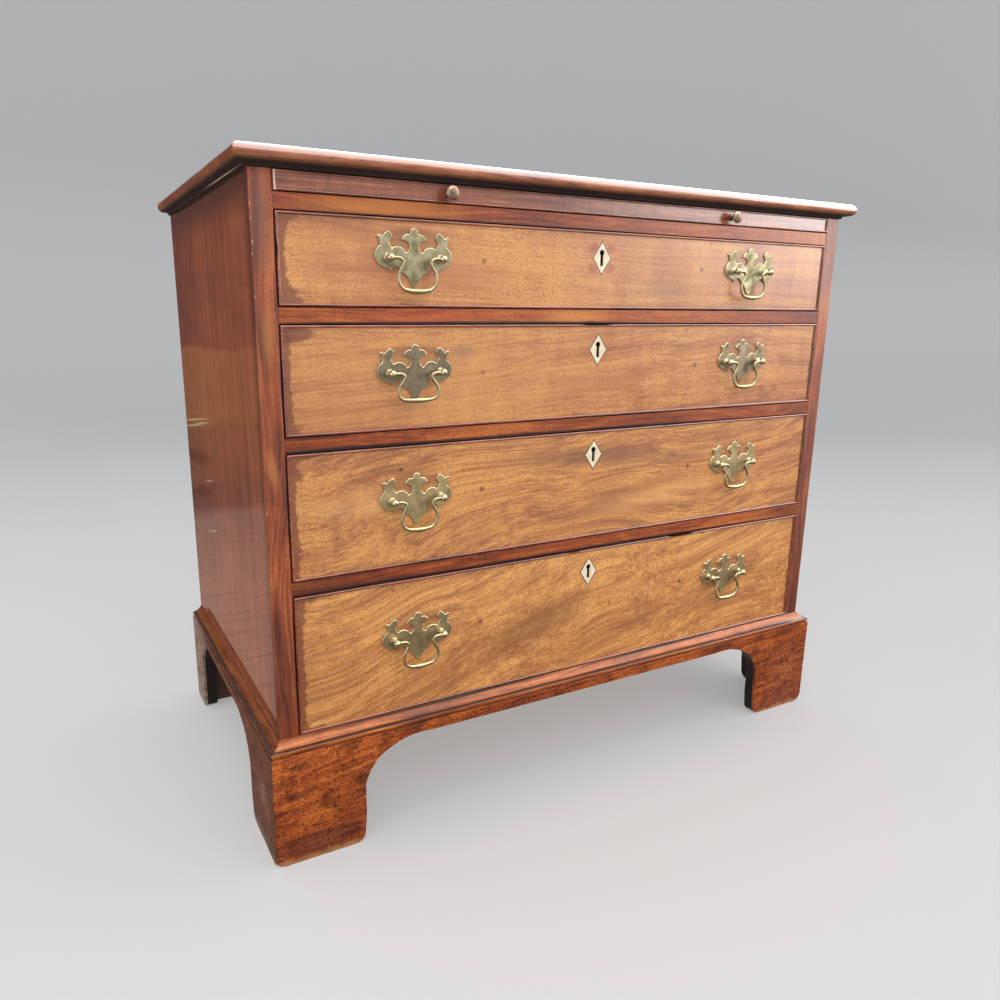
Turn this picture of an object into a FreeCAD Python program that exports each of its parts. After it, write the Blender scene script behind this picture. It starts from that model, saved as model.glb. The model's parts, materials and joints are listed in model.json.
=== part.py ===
"""Mahogany bachelors chest: four long drawers, a brushing slide and bracket feet.

The chest stands on z = 0 and faces -Y.  x = 0 is the middle of its width and y = 0 the middle of
its top board, front to back.  All lengths are in millimetres.
"""

import FreeCAD
import Part
import Sketcher

import math
import os
from dataclasses import dataclass

from FreeCAD import Vector

SIZES = {
    # carcase
    "body_width": 880.0,
    "carcase_depth": 494.0,
    "side_thickness": 24.0,
    "facing_depth": 8.0,
    "bottom_thickness": 16.0,
    "rail_height": 17.0,
    "rail_depth": 60.0,
    "housing_depth": 8.0,
    "runner_width": 32.0,
    "dustboard_thickness": 8.0,
    "dustboard_tongue": 6.0,
    "back_thickness": 10.0,
    "back_lap": 12.0,
    "back_joint": 0.6,
    # top board and its thumb-moulded edge
    "top_thickness": 20.0,
    "top_overhang": 17.3,
    "nose_round": 8.0,
    "nose_middle": 11.5,
    "nose_undercut": 6.3,
    "bed_height": 3.8,
    "bed_overhang": 5.5,
    # heights of the openings in the front
    "slide_opening": 21.6,
    "drawer1_opening": 96.5,
    "drawer2_opening": 120.9,
    "drawer3_opening": 147.5,
    "drawer4_opening": 173.0,
    # plinth with bracket feet, and the moulding above it
    "plinth_height": 143.5,
    "plinth_overhang": 15.0,
    "plinth_thickness": 20.0,
    "apron_height": 13.5,
    "foot_width": 115.5,
    "foot_toe": 14.0,
    "foot_cusp": 80.0,
    "foot_spring": 205.0,
    "back_foot_width": 66.0,
    "back_foot_spring": 150.0,
    "rear_bracket_thickness": 16.0,
    "rear_bracket_width": 110.0,
    "moulding_height": 15.5,
    "moulding_reveal": 0.8,
    "quirk_height": 2.4,
    "bead_height": 4.2,
    "glue_block_width": 38.0,
    "glue_block_lift": 6.0,
    "glue_strip_length": 90.0,
    "glue_strip_size": 12.0,
    # brushing slide
    "slide_clear_back": 44.0,
    "slide_gap": 1.0,
    "slide_top_gap": 1.5,
    "lipping_depth": 26.0,
    "cleat_width": 42.0,
    "slide_bead": 2.0,
    "knob_spacing": 436.0,
    "knob_diameter": 16.0,
    "knob_reach": 15.0,
    "knob_neck": 5.0,
    "knob_rose": 9.0,
    "knob_shank": 4.4,
    "knob_shank_depth": 16.0,
    # drawers
    "drawer_gap": 1.2,
    "running_gap": 0.3,
    "drawer_recess": 0.5,
    "drawer_clear_back": 14.0,
    "front_thickness": 21.0,
    "bead_thickness": 2.8,
    "bead_lap": 8.0,
    "bead_proud": 2.3,
    "lining_thickness": 9.5,
    "lining_drop": 3.0,
    "drawer_back_drop": 6.0,
    "dovetail_cover": 1.0,
    "bottom_rise": 9.0,
    "drawer_bottom_thickness": 7.0,
    "bottom_groove": 4.5,
    "stop_thickness": 5.0,
    "stop_length": 24.0,
    "stop_width": 40.0,
    "stop_inset": 120.0,
    "stop_gap": 0.3,
    # locks and escutcheons
    "keyhole_drop": 33.2,
    "keyhole_head": 7.5,
    "keyhole_slot": 4.6,
    "keyhole_head_rise": 6.5,
    "keyhole_slot_drop": 9.5,
    "escutcheon_width": 29.0,
    "escutcheon_height": 42.0,
    "escutcheon_thickness": 2.0,
    "escutcheon_proud": 0.2,
    "lock_width": 70.0,
    "lock_height": 46.0,
    "lock_plate": 1.8,
    "lock_case_width": 48.0,
    "lock_wall": 2.0,
    "bolt_width": 20.0,
    "bolt_height": 17.0,
    "bolt_throw": 8.0,
    "bolt_gap": 0.25,
    "mortise_spare": 2.0,
    # handles
    "handle_spacing": 522.0,
    "drawer1_handle_drop": 42.9,
    "drawer2_handle_drop": 54.7,
    "drawer3_handle_drop": 66.0,
    "drawer4_handle_drop": 77.5,
    "post_spacing": 64.0,
    "post_reach": 10.5,
    "ball_diameter": 9.2,
    "post_neck": 5.0,
    "post_collar": 10.0,
    "post_collar_height": 1.2,
    "post_shank": 4.8,
    "post_play": 0.25,
    "nut_diameter": 11.0,
    "nut_thickness": 3.0,
    "nut_gap": 0.05,
    "plate_height": 63.2,
    "plate_thickness": 2.0,
    "bail_drop": 35.6,
    "bail_wire": 3.4,
    "bail_grip": 5.8,
    "bail_pin": 2.5,
    "pin_gap": 0.05,
    "pin_end_gap": 0.5,
    "bail_side_gap": 0.4,
}

HANDS = {"left": -1, "right": 1}
PLANES = {"x": "YZ_Plane", "y": "XZ_Plane", "z": "XY_Plane"}
ROD_TURNS = {"x": (Vector(0, 1, 0), 90), "y": (Vector(1, 0, 0), -90), "z": (Vector(0, 0, 1), 0)}

DRAWER_ORDER = (4, 3, 2, 1)
BACK_BOARDS = 3

# Dovetails of a drawer side: how many, and how wide they are as a share of their pitch.
TAILS = {1: 2, 2: 2, 3: 3, 4: 3}
TAIL_TIP = 0.62
TAIL_ROOT = 0.44

# Swells of the round edges: ratio of the rise of an edge to half its chord, negative in a hollow.
TOP_NOSE_RATIO = 0.38
TOP_UNDERCUT_RATIO = 0.33
TOP_BED_RATIO = -0.3
BASE_BEAD_RATIO = 0.7
BASE_SWEEP_RATIO = -0.25
COCK_BEAD_RATIO = 0.8
COLLAR_RATIO = 0.3

# Where the round nose of a cock bead starts, and how far the bead of the base moulding is set in.
COCK_BEAD_TURN = 0.4
BASE_BEAD_INSET = 0.35

# Inner edge of a bracket foot: shares of its run and of its rise, and the swell ratios of its edges.
FOOT_LIP = 0.15
FOOT_SHOULDER = 0.2
FOOT_KNEE = 0.62
FOOT_RATIOS = (0.4, 0.02, 0.0, -0.12, -0.2)

# Rear bracket: shares of its width at the floor and above its toe, height and swell of the toe.
REAR_TOE = 0.45
REAR_ANKLE = 0.62
REAR_TOE_HEIGHT = 1.5
REAR_TOE_RATIO = 0.35

# Half section of a knob from its face to its rose: share of the reach, radius, share of it, swell.
KNOB_TURNING = (
    (1.0, "shank", 0.5, 0.2),
    (0.79, "rim", 1.0, 0.5),
    (0.67, "rim", 0.93, -0.3),
    (0.42, "neck", 1.0, 0.0),
    (0.13, "neck", 1.0, 0.0),
    (0.1, "rose", 1.0, 0.3),
)

# Half of the backplate, from the top of its crown round the right-hand side to its
# lowest tip: anchor of the point, distance out from it, height above the posts, swell of the edge.
PLATE_DRAWN_HEIGHT = 63.2
PLATE_EDGE = (
    ("middle", 0.0, 32.0, 0.25),
    ("middle", 5.0, 28.3, -0.3),
    ("middle", 5.6, 25.6, 0.0),
    ("middle", 8.4, 26.0, 0.2),
    ("middle", 15.2, 19.6, 0.0),
    ("middle", 10.1, 18.3, -0.8),
    ("middle", 10.6, 6.1, 0.48),
    ("post", -5.5, 10.2, 0.0),
    ("post", -1.7, 16.3, 0.0),
    ("post", -5.7, 22.5, 0.25),
    ("post", -1.0, 28.2, 0.08),
    ("post", 6.3, 22.3, 0.0),
    ("post", 9.2, 24.2, 0.1),
    ("post", 12.0, 22.6, -0.25),
    ("post", 8.5, 12.8, 0.2),
    ("post", 15.2, 4.0, 0.38),
    ("post", 1.5, -10.9, -0.12),
    ("post", -3.8, -14.3, -0.1),
    ("post", -6.3, -9.4, -0.2),
    ("middle", 18.0, -10.0, 0.0),
    ("middle", 14.8, -15.4, 0.15),
    ("middle", 10.2, -17.7, -0.05),
    ("middle", 3.2, -28.6, 0.1),
    ("middle", 0.0, -31.2, 0.0),
)

# Half of the swan-necked bail, from the post to the middle of the grip: X from the post, and Z.
BAIL_DRAWN_DROP = 35.6
BAIL_SECTIONS = 33
GRIP_SHARPNESS = 24
BAIL_NECK = (
    (-9.2, -0.2),
    (-12.8, -1.3),
    (-15.2, -4.6),
    (-13.4, -9.6),
    (-9.9, -15.6),
    (-8.8, -21.9),
    (-10.4, -28.0),
    (-14.2, -32.3),
    (-20.0, -34.6),
)


class Size:
    """A length held as a number and as a formula over the size sheet."""

    def __init__(self, value, formula):
        self.value = value
        self.formula = formula

    def __add__(self, other):
        return joined(self, "+", other, self.value + sized(other).value)

    def __radd__(self, other):
        return sized(other) + self

    def __sub__(self, other):
        return joined(self, "-", other, self.value - sized(other).value)

    def __rsub__(self, other):
        return sized(other) - self

    def __mul__(self, other):
        return joined(self, "*", other, self.value * sized(other).value)

    def __rmul__(self, other):
        return sized(other) * self

    def __truediv__(self, other):
        return joined(self, "/", other, self.value / sized(other).value)

    def __neg__(self):
        return sized(0.0) - self


def sized(length):
    """Return a plain number as a Size."""
    if isinstance(length, Size):
        return length
    return Size(float(length), f"{float(length):.6f}")


def joined(first, sign, second, value):
    """Return the Size that an arithmetic sign makes of two others."""
    return Size(value, f"({first.formula} {sign} {sized(second).formula})")


def root(length):
    """Return the square root of a Size."""
    return Size(math.sqrt(length.value), f"sqrt({length.formula})")


class Sizes:
    """Every driving dimension of the size sheet, as an attribute of its own."""


def size_sheet(doc):
    """Write the driving dimensions to the sheet and return them by name."""
    sheet = doc.addObject("Spreadsheet::Sheet", "Sheet")
    sizes = Sizes()
    for row, (name, value) in enumerate(SIZES.items(), start=1):
        sheet.set(f"A{row}", name)
        sheet.set(f"B{row}", str(value))
        sheet.setAlias(f"B{row}", name)
        setattr(sizes, name, Size(value, f"Sheet.{name}"))
    doc.recompute()
    return sizes


def bind(thing, path, length):
    """Tie one property of an object to its formula."""
    thing.setExpression(path, sized(length).formula)


def place(thing, x, y, z):
    """Tie the place of an object to three formulas."""
    bind(thing, "Placement.Base.x", x)
    bind(thing, "Placement.Base.y", y)
    bind(thing, "Placement.Base.z", z)


def box(doc, name, across, along, up):
    """Return a rectangular board; each argument is its low and its high side on X, Y and Z."""
    board = doc.addObject("Part::Box", name)
    bind(board, "Length", across[1] - across[0])
    bind(board, "Width", along[1] - along[0])
    bind(board, "Height", up[1] - up[0])
    place(board, across[0], along[0], up[0])
    return board


def rod(doc, name, axis, radius, span, middle):
    """Return a cylinder along X, Y or Z; middle gives its place on the two other axes."""
    cylinder = doc.addObject("Part::Cylinder", name)
    cylinder.Placement = FreeCAD.Placement(Vector(), FreeCAD.Rotation(*ROD_TURNS[axis]))
    bind(cylinder, "Radius", radius)
    bind(cylinder, "Height", span[1] - span[0])
    spots = list(middle)
    spots.insert("xyz".index(axis), span[0])
    place(cylinder, *spots)
    return cylinder


def cut(doc, name, base, tools):
    """Return the base without the tools."""
    result = doc.addObject("Part::Cut", name)
    result.Base = base
    result.Tool = tools[0] if len(tools) == 1 else fuse(doc, f"{name}_tools", tools)
    return result


def fuse(doc, name, pieces):
    """Return one solid made of several that touch or overlap."""
    result = doc.addObject("Part::MultiFuse", name)
    result.Shapes = pieces
    result.Refine = True
    return result


def common(doc, name, first, second):
    """Return what two solids share."""
    result = doc.addObject("Part::Common", name)
    result.Base = first
    result.Tool = second
    result.Refine = True
    return result


def group(doc, name, pieces):
    """Return separate solids held together as one sub-part."""
    result = doc.addObject("Part::Compound", name)
    result.Links = pieces
    return result


def copy_at(doc, name, thing, x, y, z):
    """Return one more of a piece that was made about its own origin, at its place."""
    copy = group(doc, name, [thing])
    place(copy, x, y, z)
    return copy


def origin_plane(body, role):
    """Return one of the origin planes of a body."""
    return next(part for part in body.Origin.OriginFeatures if part.Role == role)


def new_sketch(body, role):
    """Return a sketch on one of the origin planes of its own body."""
    sketch = body.newObject("Sketcher::SketchObject", f"{body.Name}_sketch")
    sketch.AttachmentSupport = [(origin_plane(body, role), "")]
    sketch.MapMode = "FlatFace"
    return sketch


def edge_between(start, end, swell):
    """Return a straight or round edge and which of its ends, 1 or 2, is the starting one.

    swell is the rise of the edge over half its chord, to the left of its way.  A round edge always
    runs anticlockwise, so one that bows to the left starts at its far end.
    """
    first = Vector(start[0].value, start[1].value, 0)
    last = Vector(end[0].value, end[1].value, 0)
    if swell == 0.0:
        return Part.LineSegment(first, last), 1
    chord = last - first
    left = Vector(-chord.y, chord.x, 0)
    centre = (first + last) * 0.5 + left * ((swell * swell - 1.0) / (4.0 * swell))
    circle = Part.Circle(centre, Vector(0, 0, 1), (first - centre).Length)
    begin, finish = (last, first) if swell > 0 else (first, last)
    angles = [math.atan2(point.y - centre.y, point.x - centre.x) for point in (begin, finish)]
    if angles[1] < angles[0]:
        angles[1] += 2 * math.pi
    return Part.ArcOfCircle(circle, *angles), 2 if swell > 0 else 1


def chord_radius(start, end, swell):
    """Return the radius of a round edge from its chord and swell."""
    across = end[0] - start[0]
    up = end[1] - start[1]
    rise = abs(swell)
    return root(across * across + up * up) * ((1.0 + rise * rise) / (4.0 * rise))


def draw_outline(sketch, corners):
    """Draw a closed outline with every corner and radius tied to the size sheet.

    Each corner is (first coordinate, second coordinate, swell of the edge that leaves it); a
    positive swell bows out of the outline and a negative one into it.
    """
    corners = [(sized(a), sized(b), swell) for a, b, swell in corners]
    pairs = list(zip(corners, corners[1:] + corners[:1]))
    turn = sum(p[0].value * q[1].value - q[0].value * p[1].value for p, q in pairs)
    side = -1.0 if turn > 0 else 1.0
    ends = []
    for start, end in pairs:
        edge, starting = edge_between(start, end, side * start[2])
        ends.append((sketch.addGeometry(edge, False), starting))
    joints = []
    ties = []
    for number, (start, end) in enumerate(pairs):
        index, starting = ends[number]
        before, opened = ends[number - 1]
        joints.append(Sketcher.Constraint("Coincident", before, 3 - opened, index, starting))
        ties.append(("DistanceX", (-1, 1, index, starting), start[0]))
        ties.append(("DistanceY", (-1, 1, index, starting), start[1]))
        if start[2] != 0.0:
            ties.append(("Radius", (index,), chord_radius(start, end, start[2])))
    sketch.addConstraint(joints)
    fixed = [Sketcher.Constraint(kind, *spot, size.value) for kind, spot, size in ties]
    items = sketch.addConstraint(fixed)
    for item, (_, _, size) in zip(items, ties):
        bind(sketch, f"Constraints[{item}]", size)


def prism(doc, name, axis, corners, span, mirrored=False):
    """Return an outline drawn across an axis and padded along it from span[0] to span[1].

    A mirrored outline is the right-hand half of the piece, closed along the middle line.
    """
    body = doc.addObject("PartDesign::Body", name)
    sketch = new_sketch(body, PLANES[axis])
    draw_outline(sketch, corners)
    pad = body.newObject("PartDesign::Pad", f"{name}_pad")
    pad.Profile = sketch
    pad.Reversed = axis == "y"
    bind(pad, "Length", span[1] - span[0])
    body.Tip = pad
    if mirrored:
        other = body.newObject("PartDesign::Mirrored", f"{name}_mirrored")
        other.Originals = [pad]
        other.MirrorPlane = (origin_plane(body, "YZ_Plane"), [""])
        body.Tip = other
    bind(body, f"Placement.Base.{axis}", span[0])
    return body


def turned(doc, name, corners, x, y, z):
    """Return a piece turned about a line along Y; corners are (along Y, radius, swell)."""
    body = doc.addObject("PartDesign::Body", name)
    sketch = new_sketch(body, "YZ_Plane")
    draw_outline(sketch, corners)
    revolution = body.newObject("PartDesign::Revolution", f"{name}_turning")
    revolution.Profile = sketch
    revolution.ReferenceAxis = (sketch, ["H_Axis"])
    revolution.Angle = 360.0
    body.Tip = revolution
    place(body, x, y, z)
    return body


def handed(hand, inner, outer):
    """Return the low and high X of something that lies between two distances from the middle."""
    if hand < 0:
        return -outer, -inner
    return sized(inner), sized(outer)


@dataclass
class Opening:
    """One opening of the front, between two rails."""

    number: int
    low: Size
    high: Size


class Layout:
    """Places that several pieces share, worked out from the size sheet."""

    def __init__(self, sizes):
        self.sizes = sizes
        self.face = (sizes.top_overhang - sizes.carcase_depth) / 2
        self.back = self.face + sizes.carcase_depth
        self.board_back = self.back - sizes.back_thickness
        self.body_half = sizes.body_width / 2
        self.clear_half = self.body_half - sizes.side_thickness
        self.floor = sizes.plinth_height + sizes.bottom_thickness
        self.drawers = []
        low = self.floor
        for number in DRAWER_ORDER:
            high = low + getattr(sizes, f"drawer{number}_opening")
            self.drawers.append(Opening(number, low, high))
            low = high + sizes.rail_height
        self.slide = Opening(0, low, low + sizes.slide_opening)
        self.top = self.slide.high
        self.drawer_face = self.face + sizes.drawer_recess
        self.front_back = self.drawer_face + sizes.front_thickness

    def rail_below(self, opening):
        """Return the low and high side of the rail under an opening."""
        return opening.low - self.sizes.rail_height, opening.low


def housed_board(doc, name, lay, back, up):
    """Return a board that shows between the facings and runs into the sides behind them."""
    sizes = lay.sizes
    shown = lay.clear_half
    housed = lay.clear_half + sizes.housing_depth
    front = box(doc, f"{name}_edge", (-shown, shown), (lay.face, back), up)
    rear = box(doc, f"{name}_tongue", (-housed, housed), (lay.face + sizes.facing_depth, back), up)
    return fuse(doc, name, [front, rear])


def carcase_side(doc, name, lay, hand, housed):
    """Return one side board, rebated for the back and housed for the rails and the bottom."""
    sizes = lay.sizes
    inner = lay.clear_half
    outer = lay.body_half
    lap = inner + sizes.back_lap
    start = lay.face + sizes.facing_depth
    plan = [
        (outer, start, 0.0),
        (outer, lay.back, 0.0),
        (lap, lay.back, 0.0),
        (lap, lay.board_back, 0.0),
        (inner, lay.board_back, 0.0),
        (inner, start, 0.0),
    ]
    plan = [(hand * x, y, swell) for x, y, swell in plan]
    board = prism(doc, f"{name}_board", "z", plan, (sizes.plinth_height, lay.top))
    across = handed(hand, inner, inner + sizes.housing_depth)
    grooves = []
    for number, up in enumerate(housed):
        grooves.append(box(doc, f"{name}_housing{number}", across, (start, lay.board_back), up))
    return cut(doc, name, board, grooves)


def carcase(doc, lay):
    """Return the boards of the carcase by name."""
    sizes = lay.sizes
    levels = [lay.rail_below(opening) for opening in lay.drawers[1:] + [lay.slide]]
    bottom = (sizes.plinth_height, lay.floor)
    nodes = {}
    for side, hand in HANDS.items():
        name = f"carcase_side_{side}"
        nodes[name] = carcase_side(doc, name, lay, hand, [bottom] + levels)
    strips = []
    for side, hand in HANDS.items():
        across = handed(hand, lay.clear_half, lay.body_half)
        along = (lay.face, lay.face + sizes.facing_depth)
        strips.append(box(doc, f"facing_{side}", across, along, (sizes.plinth_height, lay.top)))
    nodes["facing_strips"] = group(doc, "facing_strips", strips)
    nodes["bottom_board"] = housed_board(doc, "bottom_board", lay, lay.board_back, bottom)
    nodes["back_boards"] = back_boards(doc, lay)
    nodes.update(rails_and_dustboards(doc, lay, levels))
    nodes["top_board"] = top_board(doc, lay)
    return nodes


def back_boards(doc, lay):
    """Return the boards of the back, one above the other, in the rebates of the sides."""
    sizes = lay.sizes
    half = lay.clear_half + sizes.back_lap
    joints = (BACK_BOARDS - 1) * sizes.back_joint
    height = (lay.top - sizes.plinth_height - joints) / BACK_BOARDS
    boards = []
    for number in range(BACK_BOARDS):
        low = sizes.plinth_height + number * (height + sizes.back_joint)
        up = (low, low + height)
        boards.append(box(doc, f"back_board{number}", (-half, half), (lay.board_back, lay.back), up))
    return group(doc, "back_boards", boards)


def rails_and_dustboards(doc, lay, levels):
    """Return the four drawer rails, their runners and the dustboards grooved into them."""
    sizes = lay.sizes
    rail_back = lay.face + sizes.rail_depth
    runner_inner = lay.clear_half - sizes.runner_width
    dust_half = runner_inner + sizes.dustboard_tongue
    rails = []
    runners = []
    dustboards = []
    for number, (low, high) in enumerate(levels):
        middle = (low + high) / 2
        dust_up = (middle - sizes.dustboard_thickness / 2, middle + sizes.dustboard_thickness / 2)
        dust_along = (rail_back - sizes.dustboard_tongue, lay.board_back)
        dust = box(doc, f"dustboard{number}", (-dust_half, dust_half), dust_along, dust_up)
        dustboards.append(dust)
        rail = housed_board(doc, f"rail{number}_blank", lay, rail_back, (low, high))
        rails.append(cut(doc, f"rail{number}", rail, [dust, bolt_mortise(doc, number, lay, low)]))
        for side, hand in HANDS.items():
            across = handed(hand, runner_inner, lay.clear_half + sizes.housing_depth)
            name = f"runner{number}_{side}"
            blank = box(doc, f"{name}_blank", across, (rail_back, lay.board_back), (low, high))
            runners.append(cut(doc, name, blank, [dust]))
    return {
        "drawer_rails": group(doc, "drawer_rails", rails),
        "dustboards": group(doc, "dustboards", dustboards),
        "drawer_runners": group(doc, "drawer_runners", runners),
    }


def bolt_mortise(doc, number, lay, low):
    """Return the hole in a rail that the lock bolt below it shoots into."""
    sizes = lay.sizes
    half = sizes.bolt_width / 2 + sizes.bolt_gap
    front, back = bolt_depth(lay)
    along = (front - sizes.bolt_gap, back + sizes.bolt_gap)
    high = low + sizes.bolt_throw - sizes.drawer_gap + sizes.mortise_spare
    return box(doc, f"bolt_mortise{number}", (-half, half), along, (low, high))


def top_edge(sizes):
    """Return the thumb-moulded edge as (distance out from the carcase, height, swell)."""
    return [
        (sizes.top_overhang - sizes.nose_round, sizes.top_thickness, TOP_NOSE_RATIO),
        (sizes.top_overhang, sizes.nose_middle, TOP_UNDERCUT_RATIO),
        (sizes.top_overhang - sizes.nose_undercut, sizes.bed_height, 0.0),
        (sizes.bed_overhang, sizes.bed_height, TOP_BED_RATIO),
        (sizes.bed_overhang / 2, sized(0.0), 0.0),
    ]


def top_board(doc, lay):
    """Return the top board, moulded along its front and both ends and square at the back."""
    sizes = lay.sizes
    edge = top_edge(sizes)
    half = [(0.0, lay.top + sizes.top_thickness, 0.0)]
    half += [(lay.body_half + out, lay.top + up, swell) for out, up, swell in edge]
    half += [(0.0, lay.top, 0.0)]
    along = (lay.face - sizes.top_overhang, lay.back)
    lengthwise = prism(doc, "top_ends", "y", half, along, mirrored=True)
    profile = [(lay.back, lay.top + sizes.top_thickness, 0.0)]
    profile += [(lay.face - out, lay.top + up, swell) for out, up, swell in edge]
    profile += [(lay.back, lay.top, 0.0)]
    reach = lay.body_half + sizes.top_overhang
    crosswise = prism(doc, "top_front", "x", profile, (-reach, reach))
    return common(doc, "top_board", lengthwise, crosswise)


def moulding_section(lay):
    """Return the base moulding as (distance out from the carcase, height, swell)."""
    sizes = lay.sizes
    out = sizes.plinth_overhang - sizes.moulding_reveal
    quirk = out - sizes.bead_height * BASE_BEAD_INSET
    low = sizes.plinth_height
    bead_top = low + sizes.quirk_height + sizes.bead_height
    return [
        (sized(0.0), low, 0.0),
        (quirk, low, 0.0),
        (quirk, low + sizes.quirk_height, BASE_BEAD_RATIO),
        (quirk, bead_top, 0.0),
        (quirk - sizes.moulding_reveal, bead_top, BASE_SWEEP_RATIO),
        (sizes.moulding_reveal, low + sizes.moulding_height, 0.0),
        (sized(0.0), low + sizes.moulding_height, 0.0),
    ]


def base_mouldings(doc, lay):
    """Return the base moulding in three pieces, mitred at the front corners."""
    sizes = lay.sizes
    out = sizes.plinth_overhang
    half = lay.body_half
    front = lay.face - out
    section = moulding_section(lay)
    profile = [(lay.face - d, up, swell) for d, up, swell in section]
    bar = prism(doc, "moulding_front_bar", "x", profile, (-half - out, half + out))
    plan = [
        (-half, lay.face, 0.0),
        (half, lay.face, 0.0),
        (half + out, front, 0.0),
        (-half - out, front, 0.0),
    ]
    height = (sizes.plinth_height, sizes.plinth_height + sizes.moulding_height)
    mitre = prism(doc, "moulding_front_mitre", "z", plan, height)
    pieces = [common(doc, "moulding_front", bar, mitre)]
    for side, hand in HANDS.items():
        profile = [(hand * (half + d), up, swell) for d, up, swell in section]
        bar = prism(doc, f"moulding_{side}_bar", "y", profile, (front, lay.back))
        plan = [
            (hand * half, lay.face, 0.0),
            (hand * (half + out), front, 0.0),
            (hand * (half + out), lay.back, 0.0),
            (hand * half, lay.back, 0.0),
        ]
        mitre = prism(doc, f"moulding_{side}_mitre", "z", plan, height)
        pieces.append(common(doc, f"moulding_{side}", bar, mitre))
    return group(doc, "base_mouldings", pieces)


def foot_edge(sizes, width, spring):
    """Return the inner edge of a bracket foot as (distance from the corner, height, swell)."""
    apron = sizes.plinth_height - sizes.apron_height
    shoulder = width + (spring - width) * FOOT_SHOULDER
    knee = sizes.foot_cusp + (apron - sizes.foot_cusp) * FOOT_KNEE
    corners = [
        (width - sizes.foot_toe, sized(0.0)),
        (width - sizes.foot_toe * FOOT_LIP, sizes.foot_toe),
        (width, sizes.foot_cusp / 2),
        (width, sizes.foot_cusp),
        (shoulder, knee),
    ]
    edge = [(out, up, swell) for (out, up), swell in zip(corners, FOOT_RATIOS)]
    return edge + [(spring, apron, 0.0)]


def reversed_edge(edge):
    """Return an open edge run the other way; a swell belongs to the stretch after its corner."""
    swells = [0.0] + [swell for _, _, swell in edge[:-1]]
    return [(out, up, swell) for (out, up, _), swell in zip(reversed(edge), reversed(swells))]


def plinth(doc, lay):
    """Return the plinth boards by name: each is an apron with a bracket foot at either end."""
    sizes = lay.sizes
    height = (sized(0.0), sizes.plinth_height)
    outer = lay.body_half + sizes.plinth_overhang
    inner = outer - sizes.plinth_thickness
    front = lay.face - sizes.plinth_overhang
    behind = front + sizes.plinth_thickness
    half = [(0.0, sizes.plinth_height, 0.0), (outer, sizes.plinth_height, 0.0), (outer, 0.0, 0.0)]
    edge = foot_edge(sizes, sizes.foot_width, sizes.foot_spring)
    half += [(outer - d, up, swell) for d, up, swell in edge]
    half += [(0.0, sizes.plinth_height - sizes.apron_height, 0.0)]
    board = prism(doc, "plinth_front_board", "y", half, (front, behind), mirrored=True)
    plan = [(-outer, front, 0.0), (outer, front, 0.0), (inner, behind, 0.0), (-inner, behind, 0.0)]
    mitre = prism(doc, "plinth_front_mitre", "z", plan, height)
    nodes = {"plinth_front": common(doc, "plinth_front", board, mitre)}
    profile = [(front, sizes.plinth_height, 0.0), (front, 0.0, 0.0)]
    profile += [(front + d, up, swell) for d, up, swell in edge]
    back_edge = foot_edge(sizes, sizes.back_foot_width, sizes.back_foot_spring)
    profile += [(lay.back - d, up, swell) for d, up, swell in reversed_edge(back_edge)]
    profile += [(lay.back, 0.0, 0.0), (lay.back, sizes.plinth_height, 0.0)]
    sides = []
    for side, hand in HANDS.items():
        board = prism(doc, f"plinth_{side}_board", "x", profile, handed(hand, inner, outer))
        plan = [
            (hand * outer, front, 0.0),
            (hand * inner, behind, 0.0),
            (hand * inner, lay.back, 0.0),
            (hand * outer, lay.back, 0.0),
        ]
        mitre = prism(doc, f"plinth_{side}_mitre", "z", plan, height)
        sides.append(common(doc, f"plinth_{side}", board, mitre))
    nodes["plinth_sides"] = group(doc, "plinth_sides", sides)
    nodes["rear_brackets"] = rear_brackets(doc, lay, inner)
    nodes["glue_blocks"] = glue_blocks(doc, lay, inner, behind)
    return nodes


def rear_brackets(doc, lay, inner):
    """Return the two plain brackets that close the back feet."""
    sizes = lay.sizes
    width = sizes.rear_bracket_width
    brackets = []
    for side, hand in HANDS.items():
        corners = [
            (inner, sizes.plinth_height, 0.0),
            (inner, 0.0, 0.0),
            (inner - width * REAR_TOE, 0.0, REAR_TOE_RATIO),
            (inner - width * REAR_ANKLE, sizes.foot_toe * REAR_TOE_HEIGHT, 0.0),
            (inner - width, sizes.plinth_height - sizes.apron_height, 0.0),
            (inner - width, sizes.plinth_height, 0.0),
        ]
        corners = [(hand * x, z, swell) for x, z, swell in corners]
        along = (lay.back - sizes.rear_bracket_thickness, lay.back)
        brackets.append(prism(doc, f"rear_bracket_{side}", "y", corners, along))
    return group(doc, "rear_brackets", brackets)


def glue_blocks(doc, lay, inner, behind):
    """Return the corner blocks of the feet and the short strips behind the apron."""
    sizes = lay.sizes
    width = sizes.glue_block_width
    up = (sizes.glue_block_lift, sizes.plinth_height)
    strip_up = (sizes.plinth_height - sizes.glue_strip_size, sizes.plinth_height)
    rear = lay.back - sizes.rear_bracket_thickness
    blocks = []
    for side, hand in HANDS.items():
        across = handed(hand, inner - width, inner)
        blocks.append(box(doc, f"front_block_{side}", across, (behind, behind + width), up))
        blocks.append(box(doc, f"back_block_{side}", across, (rear - width, rear), up))
        across = handed(hand, inner - sizes.glue_strip_size, inner)
        middle = (behind + rear) / 2
        along = (middle - sizes.glue_strip_length / 2, middle + sizes.glue_strip_length / 2)
        blocks.append(box(doc, f"side_strip_{side}", across, along, strip_up))
    along = (behind, behind + sizes.glue_strip_size)
    for number in (-1, 0, 1):
        middle = number * inner / 2
        across = (middle - sizes.glue_strip_length / 2, middle + sizes.glue_strip_length / 2)
        blocks.append(box(doc, f"front_strip{number + 1}", across, along, strip_up))
    return group(doc, "glue_blocks", blocks)


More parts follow.
